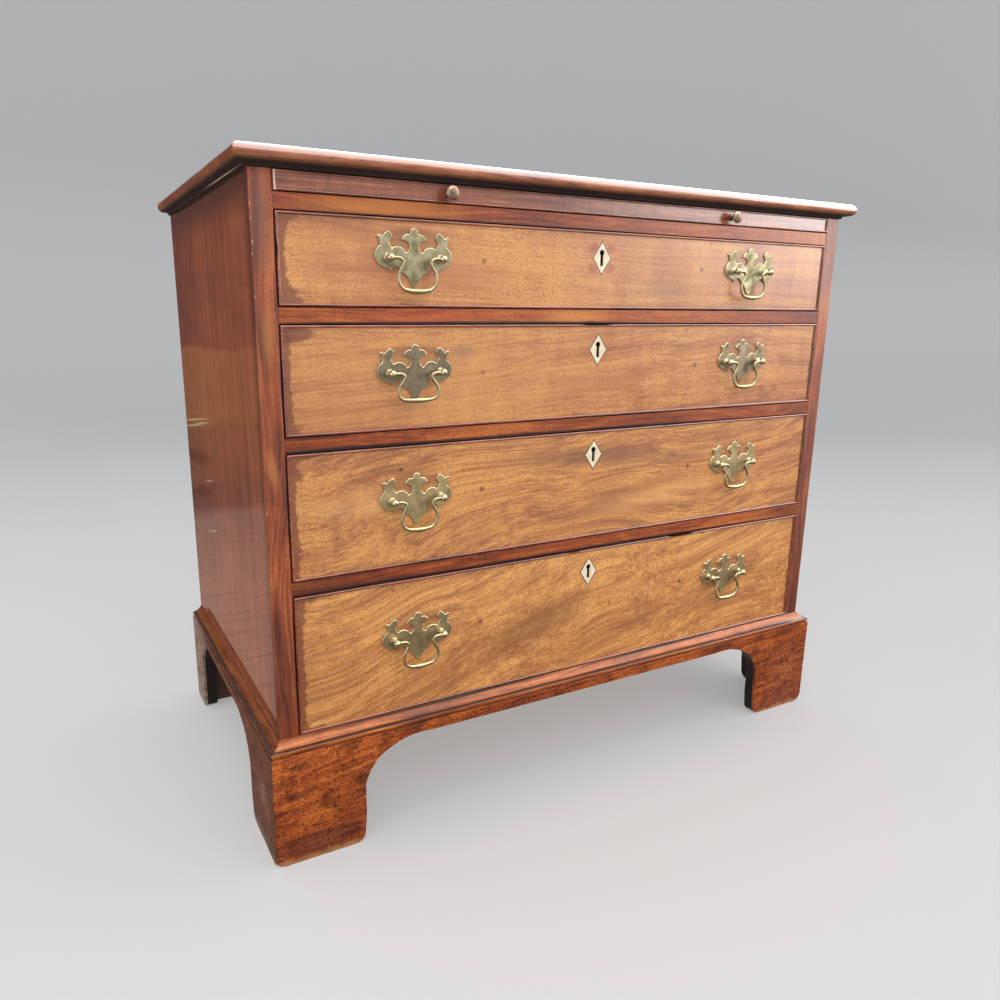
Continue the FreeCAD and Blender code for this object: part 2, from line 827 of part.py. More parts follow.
def beaded_board(doc, name, half, along, up, bead, lap):
    """Return a front board rebated round its face for a cock bead."""
    core = box(
        doc,
        f"{name}_face",
        (-half + bead, half - bead),
        (along[0], along[1]),
        (up[0] + bead, up[1] - bead),
    )
    rear = box(doc, f"{name}_body", (-half, half), (along[0] + lap, along[1]), up)
    return fuse(doc, name, [core, rear])


def cock_bead(doc, name, half, face, up, bead, sizes):
    """Return the four round-nosed bead strips round a front, mitred at its corners."""
    low, high = up
    nose = face - sizes.bead_proud
    rear = face + sizes.bead_lap
    strips = []
    for edge, start in (("lower", low), ("upper", high - bead)):
        inside = low + bead if edge == "lower" else high - bead
        outside = low if edge == "lower" else high
        section = nosed_section(nose, rear, start, bead)
        bar = prism(doc, f"{name}_{edge}_bar", "x", section, (-half, half))
        corners = [
            (-half, outside, 0.0),
            (half, outside, 0.0),
            (half - bead, inside, 0.0),
            (-half + bead, inside, 0.0),
        ]
        mitre = prism(doc, f"{name}_{edge}_mitre", "y", corners, (nose, rear))
        strips.append(common(doc, f"{name}_{edge}", bar, mitre))
    for side, hand in HANDS.items():
        start = handed(hand, half - bead, half)[0]
        section = [(x, y, swell) for y, x, swell in nosed_section(nose, rear, start, bead)]
        bar = prism(doc, f"{name}_{side}_bar", "z", section, up)
        corners = [
            (hand * half, low, 0.0),
            (hand * half, high, 0.0),
            (hand * (half - bead), high - bead, 0.0),
            (hand * (half - bead), low + bead, 0.0),
        ]
        mitre = prism(doc, f"{name}_{side}_mitre", "y", corners, (nose, rear))
        strips.append(common(doc, f"{name}_{side}", bar, mitre))
    return group(doc, name, strips)


def nosed_section(nose, rear, start, bead):
    """Return the section of a bead strip: square behind and half round in front."""
    turn = nose + bead * COCK_BEAD_TURN
    return [
        (rear, start, 0.0),
        (rear, start + bead, 0.0),
        (turn, start + bead, COCK_BEAD_RATIO),
        (turn, start, 0.0),
    ]


def slide(doc, lay):
    """Return the brushing slide by name: board, end cleats, lipping, bead and knobs."""
    sizes = lay.sizes
    half = lay.clear_half - sizes.slide_gap
    inner = half - sizes.cleat_width
    along = (lay.face + sizes.lipping_depth, lay.board_back - sizes.slide_clear_back)
    up = (lay.slide.low + sizes.running_gap, lay.slide.high - sizes.slide_top_gap)
    cleats = []
    for side, hand in HANDS.items():
        cleats.append(box(doc, f"slide_cleat_{side}", handed(hand, inner, half), along, up))
    face_up = (lay.slide.low + sizes.slide_gap, lay.slide.high - sizes.slide_gap)
    face_along = (lay.face, lay.face + sizes.lipping_depth)
    bead = sizes.slide_bead
    lipping = beaded_board(doc, "slide_lipping_blank", half, face_along, face_up, bead, sizes.bead_lap)
    middle = (face_up[0] + face_up[1]) / 2
    knobs = [slide_knob(doc, side, lay, hand, middle) for side, hand in HANDS.items()]
    return {
        "slide_board": box(doc, "slide_board", (-inner, inner), along, up),
        "slide_cleats": group(doc, "slide_cleats", cleats),
        "slide_lipping": cut(doc, "slide_lipping", lipping, knobs),
        "slide_cockbead": cock_bead(doc, "slide_cockbead", half, lay.face, face_up, bead, sizes),
        "slide_knobs": group(doc, "slide_knobs", knobs),
    }


def slide_knob(doc, side, lay, hand, middle):
    """Return one turned knob with a domed face, its shank let into the lipping."""
    sizes = lay.sizes
    radii = {
        "rim": sizes.knob_diameter / 2,
        "neck": sizes.knob_neck / 2,
        "rose": sizes.knob_rose / 2,
        "shank": sizes.knob_shank / 2,
    }
    profile = [(-sizes.knob_reach, sized(0.0), 0.0)]
    for share, radius, part, swell in KNOB_TURNING:
        profile.append((-sizes.knob_reach * share, radii[radius] * part, swell))
    profile += [
        (sized(0.0), radii["rose"], 0.0),
        (sized(0.0), radii["shank"], 0.0),
        (sizes.knob_shank_depth, radii["shank"], 0.0),
        (sizes.knob_shank_depth, sized(0.0), 0.0),
    ]
    return turned(doc, f"slide_knob_{side}", profile, hand * sizes.knob_spacing / 2, lay.face, middle)


def bolt_depth(lay):
    """Return the front and the back of the lock bolts, within the case of the lock."""
    sizes = lay.sizes
    case_front = lay.drawer_face + sizes.bead_lap + sizes.dovetail_cover
    case_back = lay.front_back - sizes.lock_plate
    return case_front + sizes.lock_wall + sizes.bolt_gap, case_back - sizes.bolt_gap


class Drawer:
    """One drawer with its fittings, worked out from the opening that it fills."""

    def __init__(self, doc, lay, opening):
        sizes = lay.sizes
        self.doc = doc
        self.lay = lay
        self.sizes = sizes
        self.number = opening.number
        self.name = f"drawer{opening.number}"
        self.opening = opening
        self.half = lay.clear_half - sizes.drawer_gap
        self.face = lay.drawer_face
        self.face_up = (opening.low + sizes.drawer_gap, opening.high - sizes.drawer_gap)
        self.side_up = (opening.low + sizes.running_gap, opening.high - sizes.lining_drop)
        self.side_inner = self.half - sizes.lining_thickness
        self.rear = lay.board_back - sizes.drawer_clear_back
        self.tail_length = sizes.front_thickness - sizes.bead_lap - sizes.dovetail_cover
        self.bottom_low = opening.low + sizes.bottom_rise
        self.bottom_high = self.bottom_low + sizes.drawer_bottom_thickness
        self.keyhole_z = opening.high - sizes.keyhole_drop
        self.post_z = opening.high - getattr(sizes, f"{self.name}_handle_drop")

    def nodes(self, fittings):
        """Return every piece of this drawer by name."""
        panel = self.bottom_panel()
        keyhole = self.keyhole_tool()
        diamond = self.diamond()
        case = self.lock_case()
        sides = {side: self.side(side, hand, panel) for side, hand in HANDS.items()}
        lining = [sides["left"], sides["right"], self.back(sides), panel]
        cutters = [panel, keyhole, diamond, case] + list(sides.values()) + self.shank_holes()
        front = beaded_board(
            self.doc,
            f"{self.name}_front_blank",
            self.half,
            (self.face, self.lay.front_back),
            self.face_up,
            self.sizes.bead_thickness,
            self.sizes.bead_lap,
        )
        bead = cock_bead(
            self.doc,
            f"{self.name}_cockbead",
            self.half,
            self.face,
            self.face_up,
            self.sizes.bead_thickness,
            self.sizes,
        )
        nodes = {
            "front": cut(self.doc, f"{self.name}_front", front, cutters),
            "cockbead": bead,
            "linings": group(self.doc, f"{self.name}_linings", lining),
            "escutcheon": cut(self.doc, f"{self.name}_escutcheon", diamond, [keyhole]),
            "lock": cut(self.doc, f"{self.name}_lock", case, [keyhole, self.bolt_channel()]),
            "lock_bolt": self.bolt(),
        }
        nodes.update(self.handles(fittings))
        return {f"{self.name}_{key}": node for key, node in nodes.items()}

    def bottom_panel(self):
        """Return the drawer bottom, which runs into grooves of the sides and the front."""
        sizes = self.sizes
        half = self.side_inner + sizes.bottom_groove
        along = (self.lay.front_back - sizes.bottom_groove, self.rear)
        up = (self.bottom_low, self.bottom_high)
        return box(self.doc, f"{self.name}_bottom", (-half, half), along, up)

    def side(self, side, hand, panel):
        """Return one drawer side with its dovetails, grooved for the bottom."""
        name = f"{self.name}_side_{side}"
        across = handed(hand, self.side_inner, self.half)
        low, high = self.side_up
        pins_start = self.rear - self.sizes.lining_thickness
        pieces = [
            box(self.doc, f"{name}_board", across, (self.lay.front_back, pins_start), self.side_up),
            box(self.doc, f"{name}_heel", across, (pins_start, self.rear), (low, self.bottom_high)),
        ]
        front_tip = self.lay.front_back - self.tail_length
        front = (self.face_up[0] + self.sizes.bead_thickness, self.face_up[1] - self.sizes.lining_drop)
        pieces += self.tails(f"{name}_front", across, self.lay.front_back, front_tip, front)
        pieces += self.tails(f"{name}_rear", across, pins_start, self.rear, (self.bottom_high, high))
        return cut(self.doc, name, fuse(self.doc, f"{name}_blank", pieces), [panel])

    def tails(self, name, across, root_y, tip_y, up):
        """Return the dovetails of one end of a side, spread evenly over its height."""
        count = TAILS[self.number]
        pitch = (up[1] - up[0]) / count
        wedges = []
        for number in range(count):
            middle = up[0] + pitch * (number + 0.5)
            wedges.append(self.tail(f"{name}_tail{number}", across, root_y, tip_y, middle, pitch))
        return wedges

    def tail(self, name, across, root_y, tip_y, middle, pitch):
        """Return one dovetail, narrow at its root and wide at its tip."""
        wedge = self.doc.addObject("Part::Wedge", name)
        forward = tip_y.value < root_y.value
        near, far = (TAIL_TIP, TAIL_ROOT) if forward else (TAIL_ROOT, TAIL_TIP)
        start, end = (tip_y, root_y) if forward else (root_y, tip_y)
        values = {
            "Xmin": sized(0.0),
            "X2min": sized(0.0),
            "Xmax": across[1] - across[0],
            "X2max": across[1] - across[0],
            "Ymin": sized(0.0),
            "Ymax": end - start,
            "Zmin": -pitch * near / 2,
            "Zmax": pitch * near / 2,
            "Z2min": -pitch * far / 2,
            "Z2max": pitch * far / 2,
        }
        for path, length in values.items():
            bind(wedge, path, length)
        place(wedge, across[0], start, middle)
        return wedge

    def back(self, sides):
        """Return the drawer back, above the bottom and dovetailed between the sides."""
        up = (self.bottom_high, self.opening.high - self.sizes.drawer_back_drop)
        along = (self.rear - self.sizes.lining_thickness, self.rear)
        blank = box(self.doc, f"{self.name}_back_blank", (-self.half, self.half), along, up)
        return cut(self.doc, f"{self.name}_back", blank, list(sides.values()))

    def keyhole_tool(self):
        """Return the keyhole: a round head over a straight slot, through to the bolt."""
        sizes = self.sizes
        head_z = self.keyhole_z + sizes.keyhole_head_rise
        along = (self.face - sizes.front_thickness, bolt_depth(self.lay)[0])
        name = f"{self.name}_keyhole"
        head = rod(self.doc, f"{name}_head", "y", sizes.keyhole_head / 2, along, (sized(0.0), head_z))
        half = sizes.keyhole_slot / 2
        slot = box(
            self.doc,
            f"{name}_slot",
            (-half, half),
            along,
            (self.keyhole_z - sizes.keyhole_slot_drop, head_z),
        )
        return fuse(self.doc, name, [head, slot])

    def diamond(self):
        """Return the diamond of the escutcheon, before its keyhole is cut."""
        sizes = self.sizes
        half = sizes.escutcheon_width / 2
        rise = sizes.escutcheon_height / 2
        z = self.keyhole_z
        corners = [(0.0, z + rise, 0.0), (half, z, 0.0), (0.0, z - rise, 0.0), (-half, z, 0.0)]
        start = self.face - sizes.escutcheon_proud
        span = (start, start + sizes.escutcheon_thickness)
        return prism(self.doc, f"{self.name}_diamond", "y", corners, span)

    def lock_case(self):
        """Return the lock without its openings: back plate, case and top edge."""
        sizes = self.sizes
        top = self.face_up[1]
        up = (top - sizes.lock_height, top)
        case_front = bolt_depth(self.lay)[0] - sizes.bolt_gap - sizes.lock_wall
        plate_half = sizes.lock_width / 2
        case_half = sizes.lock_case_width / 2
        plate_front = self.lay.front_back - sizes.lock_plate
        name = f"{self.name}_lock"
        plate_across = (-plate_half, plate_half)
        plate_along = (plate_front, self.lay.front_back)
        case_along = (case_front, plate_front)
        edge_up = (top - sizes.lock_plate, top)
        pieces = [
            box(self.doc, f"{name}_plate", plate_across, plate_along, up),
            box(self.doc, f"{name}_case", (-case_half, case_half), case_along, up),
            box(self.doc, f"{name}_selvedge", plate_across, case_along, edge_up),
        ]
        return fuse(self.doc, f"{name}_blank", pieces)

    def bolt_channel(self):
        """Return the space in the lock where the bolt slides, open at the top."""
        sizes = self.sizes
        half = sizes.bolt_width / 2 + sizes.bolt_gap
        front, back = bolt_depth(self.lay)
        top = self.face_up[1]
        up = (top - sizes.bolt_height - sizes.bolt_gap, top)
        along = (front - sizes.bolt_gap, back + sizes.bolt_gap)
        return box(self.doc, f"{self.name}_bolt_channel", (-half, half), along, up)

    def bolt(self):
        """Return the bolt, drawn down flush with the top of the lock."""
        sizes = self.sizes
        half = sizes.bolt_width / 2
        top = self.face_up[1]
        up = (top - sizes.bolt_height, top)
        return box(self.doc, f"{self.name}_lock_bolt", (-half, half), bolt_depth(self.lay), up)

    def post_places(self):
        """Return the name, X and facing of every handle post of this drawer."""
        sizes = self.sizes
        places = []
        for side, hand in HANDS.items():
            for end, turn in HANDS.items():
                x = hand * sizes.handle_spacing / 2 + turn * sizes.post_spacing / 2
                places.append((f"{side}_{end}", x, end))
        return places

    def shank_holes(self):
        """Return the holes that take the shanks of the posts through the front."""
        radius = self.sizes.post_shank / 2 + self.sizes.post_play
        along = (self.face, self.lay.front_back)
        holes = []
        for name, x, _ in self.post_places():
            spot = (x, self.post_z)
            holes.append(rod(self.doc, f"{self.name}_hole_{name}", "y", radius, along, spot))
        return holes

    def handles(self, fittings):
        """Return backplates, posts with their nuts, and both bails, by name."""
        nodes = {}
        plates = []
        posts = []
        for side, hand in HANDS.items():
            middle = hand * self.sizes.handle_spacing / 2
            spot = (middle, self.face, self.post_z)
            plates.append(copy_at(self.doc, f"{self.name}_plate_{side}", fittings["plate"], *spot))
            nodes[f"bail_{side}"] = self.bail(side, middle)
        for name, x, end in self.post_places():
            spot = (x, self.face, self.post_z)
            shape = fittings[f"post_{end}"]
            posts.append(copy_at(self.doc, f"{self.name}_post_{name}", shape, *spot))
            spot = (x, self.lay.front_back, self.post_z)
            posts.append(copy_at(self.doc, f"{self.name}_nut_{name}", fittings["nut"], *spot))
        nodes["backplates"] = group(self.doc, f"{self.name}_backplates", plates)
        nodes["posts"] = group(self.doc, f"{self.name}_posts", posts)
        return nodes

    def bail(self, side, middle):
        """Return one forged bail: a swan-necked wire, thicker at the grip, with a pin at each end."""
        bail = self.doc.addObject("Part::Feature", f"{self.name}_bail_{side}")
        bail.Shape = bail_shape(self.sizes)
        bail.Placement.Base = Vector(
            middle.value, (self.face - self.sizes.post_reach).value, self.post_z.value
        )
        return bail


def handle_fittings(doc, sizes):
    """Return the pieces that every handle has, each about its own origin on the drawer face."""
    fittings = {"plate": backplate(doc, sizes), "nut": nut(doc, sizes)}
    for end, turn in HANDS.items():
        fittings[f"post_{end}"] = post(doc, f"post_{end}", sizes, turn)
    return fittings


def backplate(doc, sizes):
    """Return the shaped backplate with the two holes that the posts pass through."""
    scale = sizes.plate_height / PLATE_DRAWN_HEIGHT
    anchors = {"middle": sized(0.0), "post": sizes.post_spacing / 2}
    half = [(anchors[anchor] + out * scale, up * scale, swell) for anchor, out, up, swell in PLATE_EDGE]
    along = (-sizes.plate_thickness, sized(0.0))
    blank = prism(doc, "backplate_blank", "y", half, along, mirrored=True)
    radius = sizes.post_shank / 2 + sizes.post_play
    holes = []
    for end, turn in HANDS.items():
        spot = (turn * sizes.post_spacing / 2, sized(0.0))
        holes.append(rod(doc, f"backplate_hole_{end}", "y", radius, along, spot))
    return cut(doc, "backplate", blank, holes)


def nut(doc, sizes):
    """Return the round nut behind a drawer front."""
    along = (sized(0.0), sizes.nut_thickness)
    centre = (sized(0.0), sized(0.0))
    blank = rod(doc, "nut_blank", "y", sizes.nut_diameter / 2, along, centre)
    thread = rod(doc, "nut_thread", "y", sizes.post_shank / 2 + sizes.nut_gap, along, centre)
    return cut(doc, "nut", blank, [thread])


def post(doc, name, sizes, turn):
    """Return a post with a ball head, bored for the bail on the side that faces its partner."""
    ball = sizes.ball_diameter / 2
    neck = sizes.post_neck / 2
    shank = sizes.post_shank / 2
    plate = sizes.plate_thickness
    collar = plate + sizes.post_collar_height
    reach = sizes.post_reach
    end = sizes.front_thickness + sizes.nut_thickness
    profile = [
        (-reach, sized(0.0), 0.0),
        (-reach, neck, 0.0),
        (-collar, neck, 0.0),
        (-collar, sizes.post_collar / 2, COLLAR_RATIO),
        (-plate, sizes.post_collar / 2, 0.0),
        (-plate, shank, 0.0),
        (end, shank, 0.0),
        (end, sized(0.0), 0.0),
    ]
    zero = sized(0.0)
    stem = turned(doc, f"{name}_stem", profile, zero, zero, zero)
    head = doc.addObject("Part::Sphere", f"{name}_ball")
    bind(head, "Radius", ball)
    place(head, zero, -reach, zero)
    blank = fuse(doc, f"{name}_blank", [stem, head])
    inner = -turn * (ball + sizes.bail_side_gap)
    span = (inner, zero) if turn > 0 else (zero, inner)
    bore = rod(doc, f"{name}_bore", "x", sizes.bail_pin / 2 + sizes.pin_gap, span, (-reach, zero))
    return cut(doc, name, blank, [bore])


def bail_shape(sizes):
    """Return the bail about its own hinge line: X along the pins, Z up."""
    post = sizes.post_spacing.value / 2
    scale = sizes.bail_drop.value / BAIL_DRAWN_DROP
    start = post - sizes.ball_diameter.value / 2 - sizes.bail_side_gap.value
    neck = [Vector(post + x * scale, 0, z * scale) for x, z in BAIL_NECK]
    right = [Vector(start, 0, 0)] + neck
    left = [Vector(-point.x, 0, point.z) for point in reversed(right)]
    line = Part.BSplineCurve()
    line.interpolate(
        Points=right + [Vector(0, 0, -sizes.bail_drop.value)] + left,
        InitialTangent=Vector(-1, 0, 0),
        FinalTangent=Vector(-1, 0, 0),
    )
    first, last = line.FirstParameter, line.LastParameter
    rings = []
    for number in range(BAIL_SECTIONS):
        share = number / (BAIL_SECTIONS - 1)
        along = first + (last - first) * share
        ring = Part.Circle()
        ring.Center = line.value(along)
        ring.Axis = line.tangent(along)[0]
        ring.XAxis = Vector(0, 1, 0)
        ring.Radius = bail_radius(sizes, share)
        rings.append(Part.Wire([ring.toShape()]))
    wire = Part.makeLoft(rings, True, False)
    pins = []
    for hand in HANDS.values():
        inner = Vector(hand * (start - sizes.bail_wire.value / 4), 0, 0)
        length = post - sizes.pin_end_gap.value - abs(inner.x)
        pins.append(Part.makeCylinder(sizes.bail_pin.value / 2, length, inner, Vector(hand, 0, 0)))
    return wire.fuse(pins).removeSplitter()


def bail_radius(sizes, share):
    """Return the radius of the bail at a share of its length: even, with a swelling mid-grip."""
    swelling = math.sin(math.pi * share) ** GRIP_SHARPNESS
    wire = sizes.bail_wire.value / 2
    return wire + (sizes.bail_grip.value / 2 - wire) * swelling


def drawer_stops(doc, lay):
    """Return the two stops of each drawer, glued behind its front on the rail below."""
    sizes = lay.sizes
    start = lay.front_back + sizes.stop_gap
    outer = lay.clear_half - sizes.stop_inset
    stops = []
    for opening in lay.drawers:
        for side, hand in HANDS.items():
            across = handed(hand, outer - sizes.stop_width, outer)
            along = (start, start + sizes.stop_length)
            up = (opening.low, opening.low + sizes.stop_thickness)
            stops.append(box(doc, f"stop{opening.number}_{side}", across, along, up))
    return group(doc, "drawer_stops", stops)


def check_document(doc):
    """Stop if any object of the document failed to build."""
    for thing in doc.Objects:
        if "Invalid" in thing.State or "Error" in thing.State:
            raise RuntimeError(f"{thing.Label} did not build: {thing.State}")


def check_shape(label, shape):
    """Stop if a sub-part is missing or broken."""
    if shape.isNull() or not shape.isValid() or not shape.Solids:
        raise RuntimeError(f"{label} is not a valid solid")


def main():
    """Build the chest, check it and write one STEP file for each sub-part."""
    doc = FreeCAD.newDocument("BachelorsChest")
    lay = Layout(size_sheet(doc))
    nodes = carcase(doc, lay)
    nodes["base_mouldings"] = base_mouldings(doc, lay)
    nodes.update(plinth(doc, lay))
    nodes["drawer_stops"] = drawer_stops(doc, lay)
    nodes.update(slide(doc, lay))
    fittings = handle_fittings(doc, lay.sizes)
    for opening in lay.drawers:
        nodes.update(Drawer(doc, lay, opening).nodes(fittings))
    doc.recompute()
    check_document(doc)
    for label, node in nodes.items():
        node.Label = label
        check_shape(label, node.Shape)
    os.makedirs("parts", exist_ok=True)
    for label, node in nodes.items():
        node.Shape.exportStep(f"parts/{label}.step")
    print(f"{len(nodes)} sub-parts written")


main()
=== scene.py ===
"""Looks of a mahogany bachelors chest: four long drawers, a brushing slide and bracket feet.

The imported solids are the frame.  Boards keep their solids and get worn timber finishes; mouldings,
beads, feet and brasses are drawn again as finer surfaces that stand exactly where the solids are.
Lengths are written in millimetres and turned to metres when a surface becomes a mesh.
"""

import json
import logging
import math
from dataclasses import dataclass, field, replace
from enum import Enum
from typing import Any, Sequence

import bmesh
import bpy
import numpy as np
from mathutils import Matrix, Vector

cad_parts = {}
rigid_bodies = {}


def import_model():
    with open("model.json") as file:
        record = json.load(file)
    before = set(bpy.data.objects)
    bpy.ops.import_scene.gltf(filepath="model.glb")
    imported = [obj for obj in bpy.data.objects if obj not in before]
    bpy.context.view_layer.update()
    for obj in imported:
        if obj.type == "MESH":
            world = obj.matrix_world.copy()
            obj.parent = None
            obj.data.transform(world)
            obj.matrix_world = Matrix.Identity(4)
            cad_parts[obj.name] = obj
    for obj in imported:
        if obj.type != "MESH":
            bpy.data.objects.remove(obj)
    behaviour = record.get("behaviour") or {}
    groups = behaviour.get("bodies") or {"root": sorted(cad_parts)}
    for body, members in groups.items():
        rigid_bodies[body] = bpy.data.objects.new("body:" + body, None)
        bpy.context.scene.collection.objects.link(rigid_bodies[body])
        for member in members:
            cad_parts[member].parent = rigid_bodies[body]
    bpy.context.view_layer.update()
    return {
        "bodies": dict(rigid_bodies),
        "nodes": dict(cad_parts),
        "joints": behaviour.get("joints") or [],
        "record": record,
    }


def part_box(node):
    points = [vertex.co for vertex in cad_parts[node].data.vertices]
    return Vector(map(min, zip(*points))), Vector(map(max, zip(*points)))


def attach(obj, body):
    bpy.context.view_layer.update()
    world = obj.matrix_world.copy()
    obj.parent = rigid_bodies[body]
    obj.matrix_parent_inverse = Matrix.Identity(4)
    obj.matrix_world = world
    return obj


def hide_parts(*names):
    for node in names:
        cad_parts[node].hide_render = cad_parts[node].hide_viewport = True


LOG = logging.getLogger("bachelors_chest")
MM = 0.001
Array = np.ndarray
Pair = tuple[float, float]
Corner = tuple[float, float, float]
Piece = bpy.types.Object
Material = bpy.types.Material

# Places that the sub-assemblies share, in the chest's own frame.
FACE_Y = -238.35
BACK_Y = 255.65
BODY_HALF = 440.0
DRAWER_FACE_Y = -237.85
DRAWER_HALF = 412.0
HANDLE_X = 261.0
PLINTH_CORNER = (455.0, -253.35)
PLINTH_TOP = 143.5
CARCASE_TOP = 787.0

# Reach of a mark that crosses the whole chest.
FAR = 5000.0
# Sockets of the Mix node when it mixes colours.
MIX_FACTOR, MIX_A, MIX_B, MIX_RESULT = 0, 6, 7, 2


class Grain(Enum):
    """Which way the grain of a board runs, as the turn that lays it along X."""

    ACROSS = (0.0, 0.0, 0.0)
    UPRIGHT = (0.0, math.pi / 2, 0.0)
    DEEP = (0.0, 0.0, -math.pi / 2)


def linear(hex_colour: str) -> tuple[float, float, float, float]:
    """Turn an sRGB colour, six hex digits after a hash sign, into linear RGBA with full alpha."""
    channels = np.array([int(hex_colour[i : i + 2], 16) for i in (1, 3, 5)]) / 255.0
    low = channels / 12.92
    high = ((channels + 0.055) / 1.055) ** 2.4
    return (*np.where(channels <= 0.04045, low, high).tolist(), 1.0)


# ---------------------------------------------------------------------------------------- surfaces


def bowed(start: Array, end: Array, swell: float, steps: int) -> Array:
    """Walk along a straight or round edge.

    A round edge is the arc that rises swell times half its chord, to the left of its way.  With
    h = 2 atan(swell), each point stands at an angle between -h and h about the arc's centre.

    Args:
        start: first point.
        end: last point, left out of the result.
        swell: rise over half the chord, negative to the right.
        steps: points on a round edge.

    Returns:
        The points, one row each.
    """
    if swell == 0.0:
        return start[None]
    chord = end - start
    length = np.linalg.norm(chord)
    half = 2.0 * math.atan(abs(swell))
    angle = np.linspace(-half, half, steps, endpoint=False)
    radius = length / 2.0 / math.sin(half)
    along = length / 2.0 + radius * np.sin(angle)
    rise = math.copysign(radius, swell) * (np.cos(angle) - math.cos(half))
    unit = chord / length
    left = np.array([-unit[1], unit[0]])
    return start + along[:, None] * unit + rise[:, None] * left


def outline(corners: Sequence[Corner], steps: int = 8) -> Array:
    """Turn corners (across, up, swell of the edge that leaves it) into the points of an outline.

    It is closed, without repeating the first point; each round edge has the given steps.
    """
    spots = np.array(corners)[:, :2]
    after = np.roll(spots, -1, axis=0)
    return np.concatenate([bowed(a, b, c[2], steps) for a, b, c in zip(spots, after, corners)])


def wander(along: Array, seed: int, size: float) -> Array:
    """Give the slow unevenness of old handwork along a length.

    It is the mean of four sine waves whose lengths and phases come from the seed.

    Args:
        along: places along the length, in millimetres.
        seed: which unevenness.
        size: its largest height, in millimetres.

    Returns:
        One height for each place.
    """
    draw = np.random.default_rng(seed)
    lengths = draw.uniform(25.0, 260.0, 4)
    phases = draw.uniform(0.0, 2.0 * math.pi, 4)
    return size * np.sin(2.0 * math.pi * along[..., None] / lengths + phases).mean(axis=-1)


def carried(profile: Array, bases: Array, outward: Array) -> Array:
    """Carry a profile of (outward, up) pairs along a path.

    Every point is its base plus the first profile coordinate times the outward direction, which is
    longer at a mitre, plus the second times the way up.
    """
    first = profile[None, :, :1] * outward[:, None, :]
    return bases[:, None, :] + first + profile[None, :, 1:] * np.array([0.0, 0.0, 1.0])


def smooth_way(points: Array, steps: int) -> Array:
    """Draw a Catmull-Rom curve: between two points it is the cubic whose slope at each point is half
    the step from its one neighbour to its other.

    Args:
        points: the points it passes through.
        steps: places on each stretch.

    Returns:
        The places on the curve, one row each.
    """
    ends = np.concatenate([2 * points[:1] - points[1:2], points, 2 * points[-1:] - points[-2:-1]])
    before, start, end, after = (ends[i : len(ends) - 3 + i, None, :] for i in range(4))
    t = np.linspace(0.0, 1.0, steps, endpoint=False)[None, :, None]
    curve = 0.5 * (
        2 * start
        + (end - before) * t
        + (2 * before - 5 * start + 4 * end - after) * t**2
        + (3 * start - before - 3 * end + after) * t**3
    )
    return np.concatenate([curve.reshape(-1, points.shape[1]), points[-1:]])


def around(points: int) -> Array:
    """Give the angles of evenly spaced points on a circle."""
    return np.linspace(0.0, 2.0 * math.pi, points, endpoint=False)


class Surface:
    """Gathers grids of points, in millimetres, until they become one piece."""

    def __init__(self) -> None:
        """Start with nothing."""
        self.points: list[Array] = []
        self.faces: list[list[int]] = []
        self.count = 0

    def grid(self, rows: Array, closed: bool = False) -> None:
        """Add a grid.

        Args:
            rows: points of shape (rows, columns, 3).
            closed: whether the last column joins the first and the end rows get a flat face.
        """
        height, width = rows.shape[:2]
        row = np.arange(height - 1)[:, None] * width + self.count
        column = np.arange(width if closed else width - 1)[None, :]
        after = (column + 1) % width
        quads = np.stack([row + column, row + after, row + width + after, row + width + column], axis=-1)
        self.points.append(rows.reshape(-1, 3))
        self.faces += quads.reshape(-1, 4).tolist()
        if closed:
            first = np.arange(width) + self.count
            self.faces += [first[::-1].tolist(), (first + (height - 1) * width).tolist()]
        self.count += height * width

    def piece(self, name: str, crisp: float = 35.0) -> Piece:
        """Make the mesh object; edges that turn more than crisp degrees stay sharp."""
        mesh = bpy.data.meshes.new(name)
        mesh.from_pydata((np.concatenate(self.points) * MM).tolist(), [], self.faces)
        return finished(name, mesh, crisp)


def finished(name: str, mesh: bpy.types.Mesh, crisp: float) -> Piece:
    """Merge, turn outwards and shade a mesh, and put it in the scene.

    Args:
        name: the name of the piece.
        mesh: its mesh.
        crisp: edges that turn more than this, in degrees, stay sharp.

    Returns:
        The new object, at the origin.
    """
    work = bmesh.new()
    work.from_mesh(mesh)
    bmesh.ops.remove_doubles(work, verts=work.verts, dist=1e-6)
    bmesh.ops.recalc_face_normals(work, faces=work.faces)
    work.to_mesh(mesh)
    work.free()
    mesh.polygons.foreach_set("use_smooth", np.ones(len(mesh.polygons), dtype=bool))
    mesh.set_sharp_from_angle(angle=math.radians(crisp))
    piece = bpy.data.objects.new(name, mesh)
    bpy.context.scene.collection.objects.link(piece)
    return piece


# Edges that turn more than this are rounded by wear.
WORN_ANGLE = math.radians(40.0)


def eased(piece: Piece, width: float, segments: int = 2) -> Piece:
    """Round the sharp edges of a piece, as years of handling do.

    Args:
        piece: the piece.
        width: width of the rounding, in millimetres.
        segments: faces across it.

    Returns:
        The same piece.
    """
    bevel = piece.modifiers.new("worn_edges", "BEVEL")
    bevel.width = width * MM
    bevel.segments = segments
    bevel.limit_method = "ANGLE"
    bevel.angle_limit = WORN_ANGLE
    bevel.use_clamp_overlap = False
    bevel.harden_normals = True
    return piece


